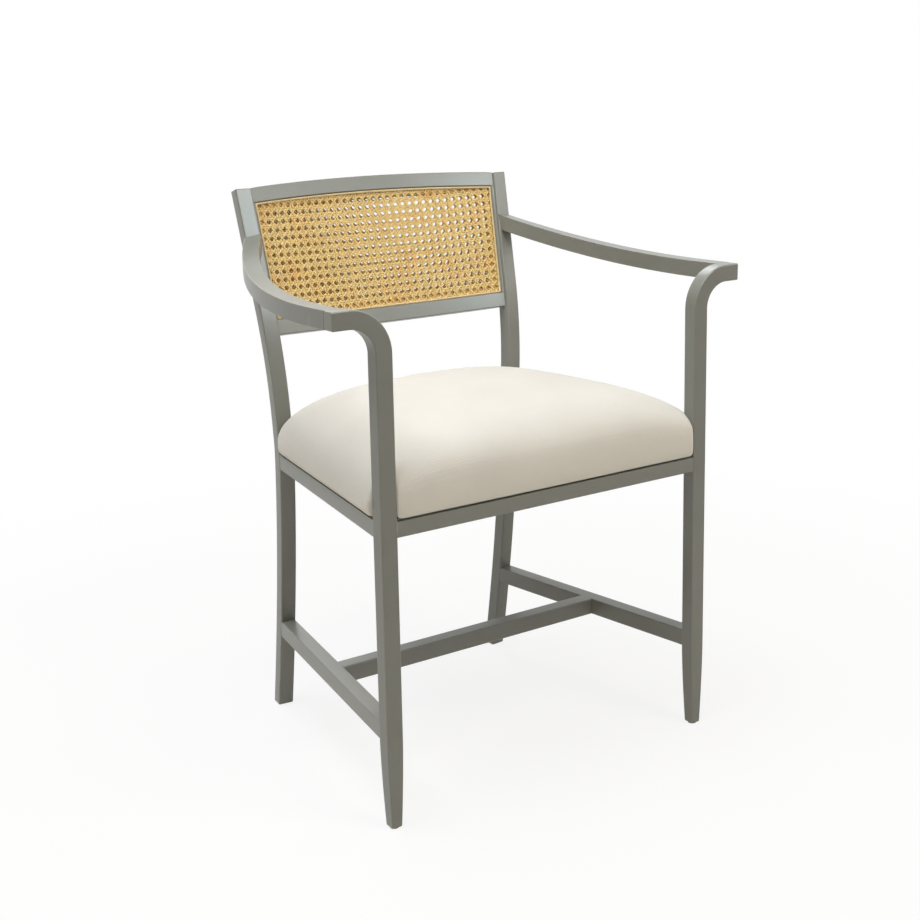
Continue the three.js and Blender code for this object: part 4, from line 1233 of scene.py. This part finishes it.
def pale_floor():
    """A wide white floor that shows a faint shadow and fades into the white surroundings."""
    bm = bmesh.new()
    bmesh.ops.create_circle(bm, cap_ends=True, radius=6, segments=96)
    floor = plain_object("floor", bm)
    material, tree, shader, place = finish("white_paper_floor")
    colour = (*linear("f4f0e8"), 1)
    feed(tree, shader, {"Base Color": colour, "Roughness": 1.0, "Specular IOR Level": 0.0})
    white = add(tree, "BsdfDiffuse", {"Color": (1, 1, 1, 1)})
    glow = add(tree, "Emission", {"Color": (1, 1, 1, 1), "Strength": 1.0})
    centred = add(tree, "VectorMath", {0: place}, operation="LENGTH").outputs["Value"]
    fade = stretch(tree, centred, 0.5, 1.6, 0.85, 1.0)
    shown = {0: fade, 1: white.outputs["BSDF"], 2: glow.outputs["Emission"]}
    shown = add(tree, "MixShader", shown).outputs["Shader"]
    mix = {0: background_rays(tree), 1: shader.outputs["BSDF"], 2: shown}
    surface = add(tree, "MixShader", mix).outputs["Shader"]
    feed(tree, tree.nodes["Material Output"], {"Surface": surface})
    floor.data.materials.append(material)


def pale_world(scene):
    """White surroundings for what is seen and mirrored, and a plain level of light for the rest."""
    world = bpy.data.worlds.new("pale_surroundings")
    world.use_nodes = True
    tree = world.node_tree
    light = tree.nodes["Background"]
    feed(tree, light, {"Color": (*linear("fff4e2"), 1), "Strength": 0.03})
    white = add(tree, "Background", {"Color": (1, 1, 1, 1), "Strength": 1.0})
    mix = {0: background_rays(tree), 1: light.outputs["Background"], 2: white.outputs["Background"]}
    surface = add(tree, "MixShader", mix).outputs["Shader"]
    feed(tree, tree.nodes["World Output"], {"Surface": surface})
    scene.world = world


def soft_lamps(scene):
    """Large soft lamps above and around, and cards in front that only show as reflections."""
    lamps = (
        ("overhead_lamp", (-0.9, 0.0, 2.9), 2.0, 57, "f8fcff"),
        ("front_lamp", (0.66, -1.8, 2.8), 1.2, 31, "fff5e2"),
        ("left_lamp", (-3.0, -0.6, 1.2), 2.0, 7, "ffe9cc"),
        ("right_lamp", (3.0, -0.8, 1.6), 2.0, 15, "fffaf4"),
        ("rear_lamp", (0.3, 3.0, 1.8), 2.0, 22, "fffcf6"),
        ("front_card", (0.6, -2.6, 1.85), 0.8, 45, "e9faff"),
        ("side_card", (2.12, -1.71, 1.73), 1.2, 15, "f6fdff"),
        ("rear_card", (1.07, 1.48, 2.34), 1.2, 18, "f6fdff"),
    )
    for name, place, size, power, colour in lamps:
        data = bpy.data.lights.new(name, "AREA")
        data.shape = "DISK"
        data.size = size
        data.energy = power
        data.color = linear(colour)
        lamp = bpy.data.objects.new(name, data)
        lamp.location = place
        aim = Vector((0, 0, 0.6)) - Vector(place)
        lamp.rotation_euler = aim.to_track_quat("-Z", "Y").to_euler()
        lamp.visible_camera = False
        lamp.visible_diffuse = not name.endswith("card")
        scene.collection.objects.link(lamp)


def photograph_camera(scene):
    """The camera at the photograph's viewing angle, for a square image."""
    turn, rise, roll = (math.radians(angle) for angle in (-33.41, 14.95, -1.42))
    out = math.cos(rise)
    back = Vector((math.sin(turn) * out, -math.cos(turn) * out, math.sin(rise)))
    level = Vector((math.cos(turn), math.sin(turn), 0))
    above = back.cross(level)
    right = level * math.cos(roll) + above * math.sin(roll)
    up = above * math.cos(roll) - level * math.sin(roll)
    data = bpy.data.cameras.new("camera")
    data.lens = 54.783
    data.sensor_width = 36
    camera = bpy.data.objects.new("camera", data)
    camera.matrix_world = Matrix((right, up, back)).transposed().to_4x4()
    camera.location = (-1.13008, -1.72195, 0.97057)
    scene.collection.objects.link(camera)
    scene.camera = camera


class ARMCHAIR_PT_panel(bpy.types.Panel):
    """The armchair's sizes, colours and steps"""

    bl_idname = "ARMCHAIR_PT_panel"
    bl_label = "Open Armchair"
    bl_space_type = "VIEW_3D"
    bl_region_type = "UI"
    bl_category = "Armchair"

    def draw(self, context):
        layout = self.layout
        for group in (context.scene.armchair_sizes, context.scene.armchair_colours):
            box = layout.box()
            for name in group.bl_rna.properties.keys():
                if name not in ("rna_type", "name"):
                    box.prop(group, name)
        for operator in OPERATORS:
            layout.operator(operator.bl_idname)


OPERATORS = (
    ARMCHAIR_OT_finishes,
    ARMCHAIR_OT_front_legs,
    ARMCHAIR_OT_rear_legs,
    ARMCHAIR_OT_seat_rails,
    ARMCHAIR_OT_stretchers,
    ARMCHAIR_OT_arms,
    ARMCHAIR_OT_back_frame,
    ARMCHAIR_OT_cane,
    ARMCHAIR_OT_seat,
    ARMCHAIR_OT_inside,
    ARMCHAIR_OT_stage,
)
CLASSES = (ArmchairSizes, ArmchairColours, *OPERATORS, ARMCHAIR_PT_panel)


def register():
    for cls in CLASSES:
        bpy.utils.register_class(cls)
    bpy.types.Scene.armchair_sizes = PointerProperty(type=ArmchairSizes)
    bpy.types.Scene.armchair_colours = PointerProperty(type=ArmchairColours)


def unregister():
    del bpy.types.Scene.armchair_colours
    del bpy.types.Scene.armchair_sizes
    for cls in reversed(CLASSES):
        bpy.utils.unregister_class(cls)


def main():
    register()
    bpy.ops.armchair.finishes()
    bpy.ops.armchair.front_legs()
    bpy.ops.armchair.rear_legs()
    bpy.ops.armchair.seat_rails()
    bpy.ops.armchair.stretchers()
    bpy.ops.armchair.arms()
    bpy.ops.armchair.back_frame()
    bpy.ops.armchair.cane()
    bpy.ops.armchair.seat()
    bpy.ops.armchair.inside()
    bpy.ops.armchair.stage()


if __name__ == "__main__":
    main()
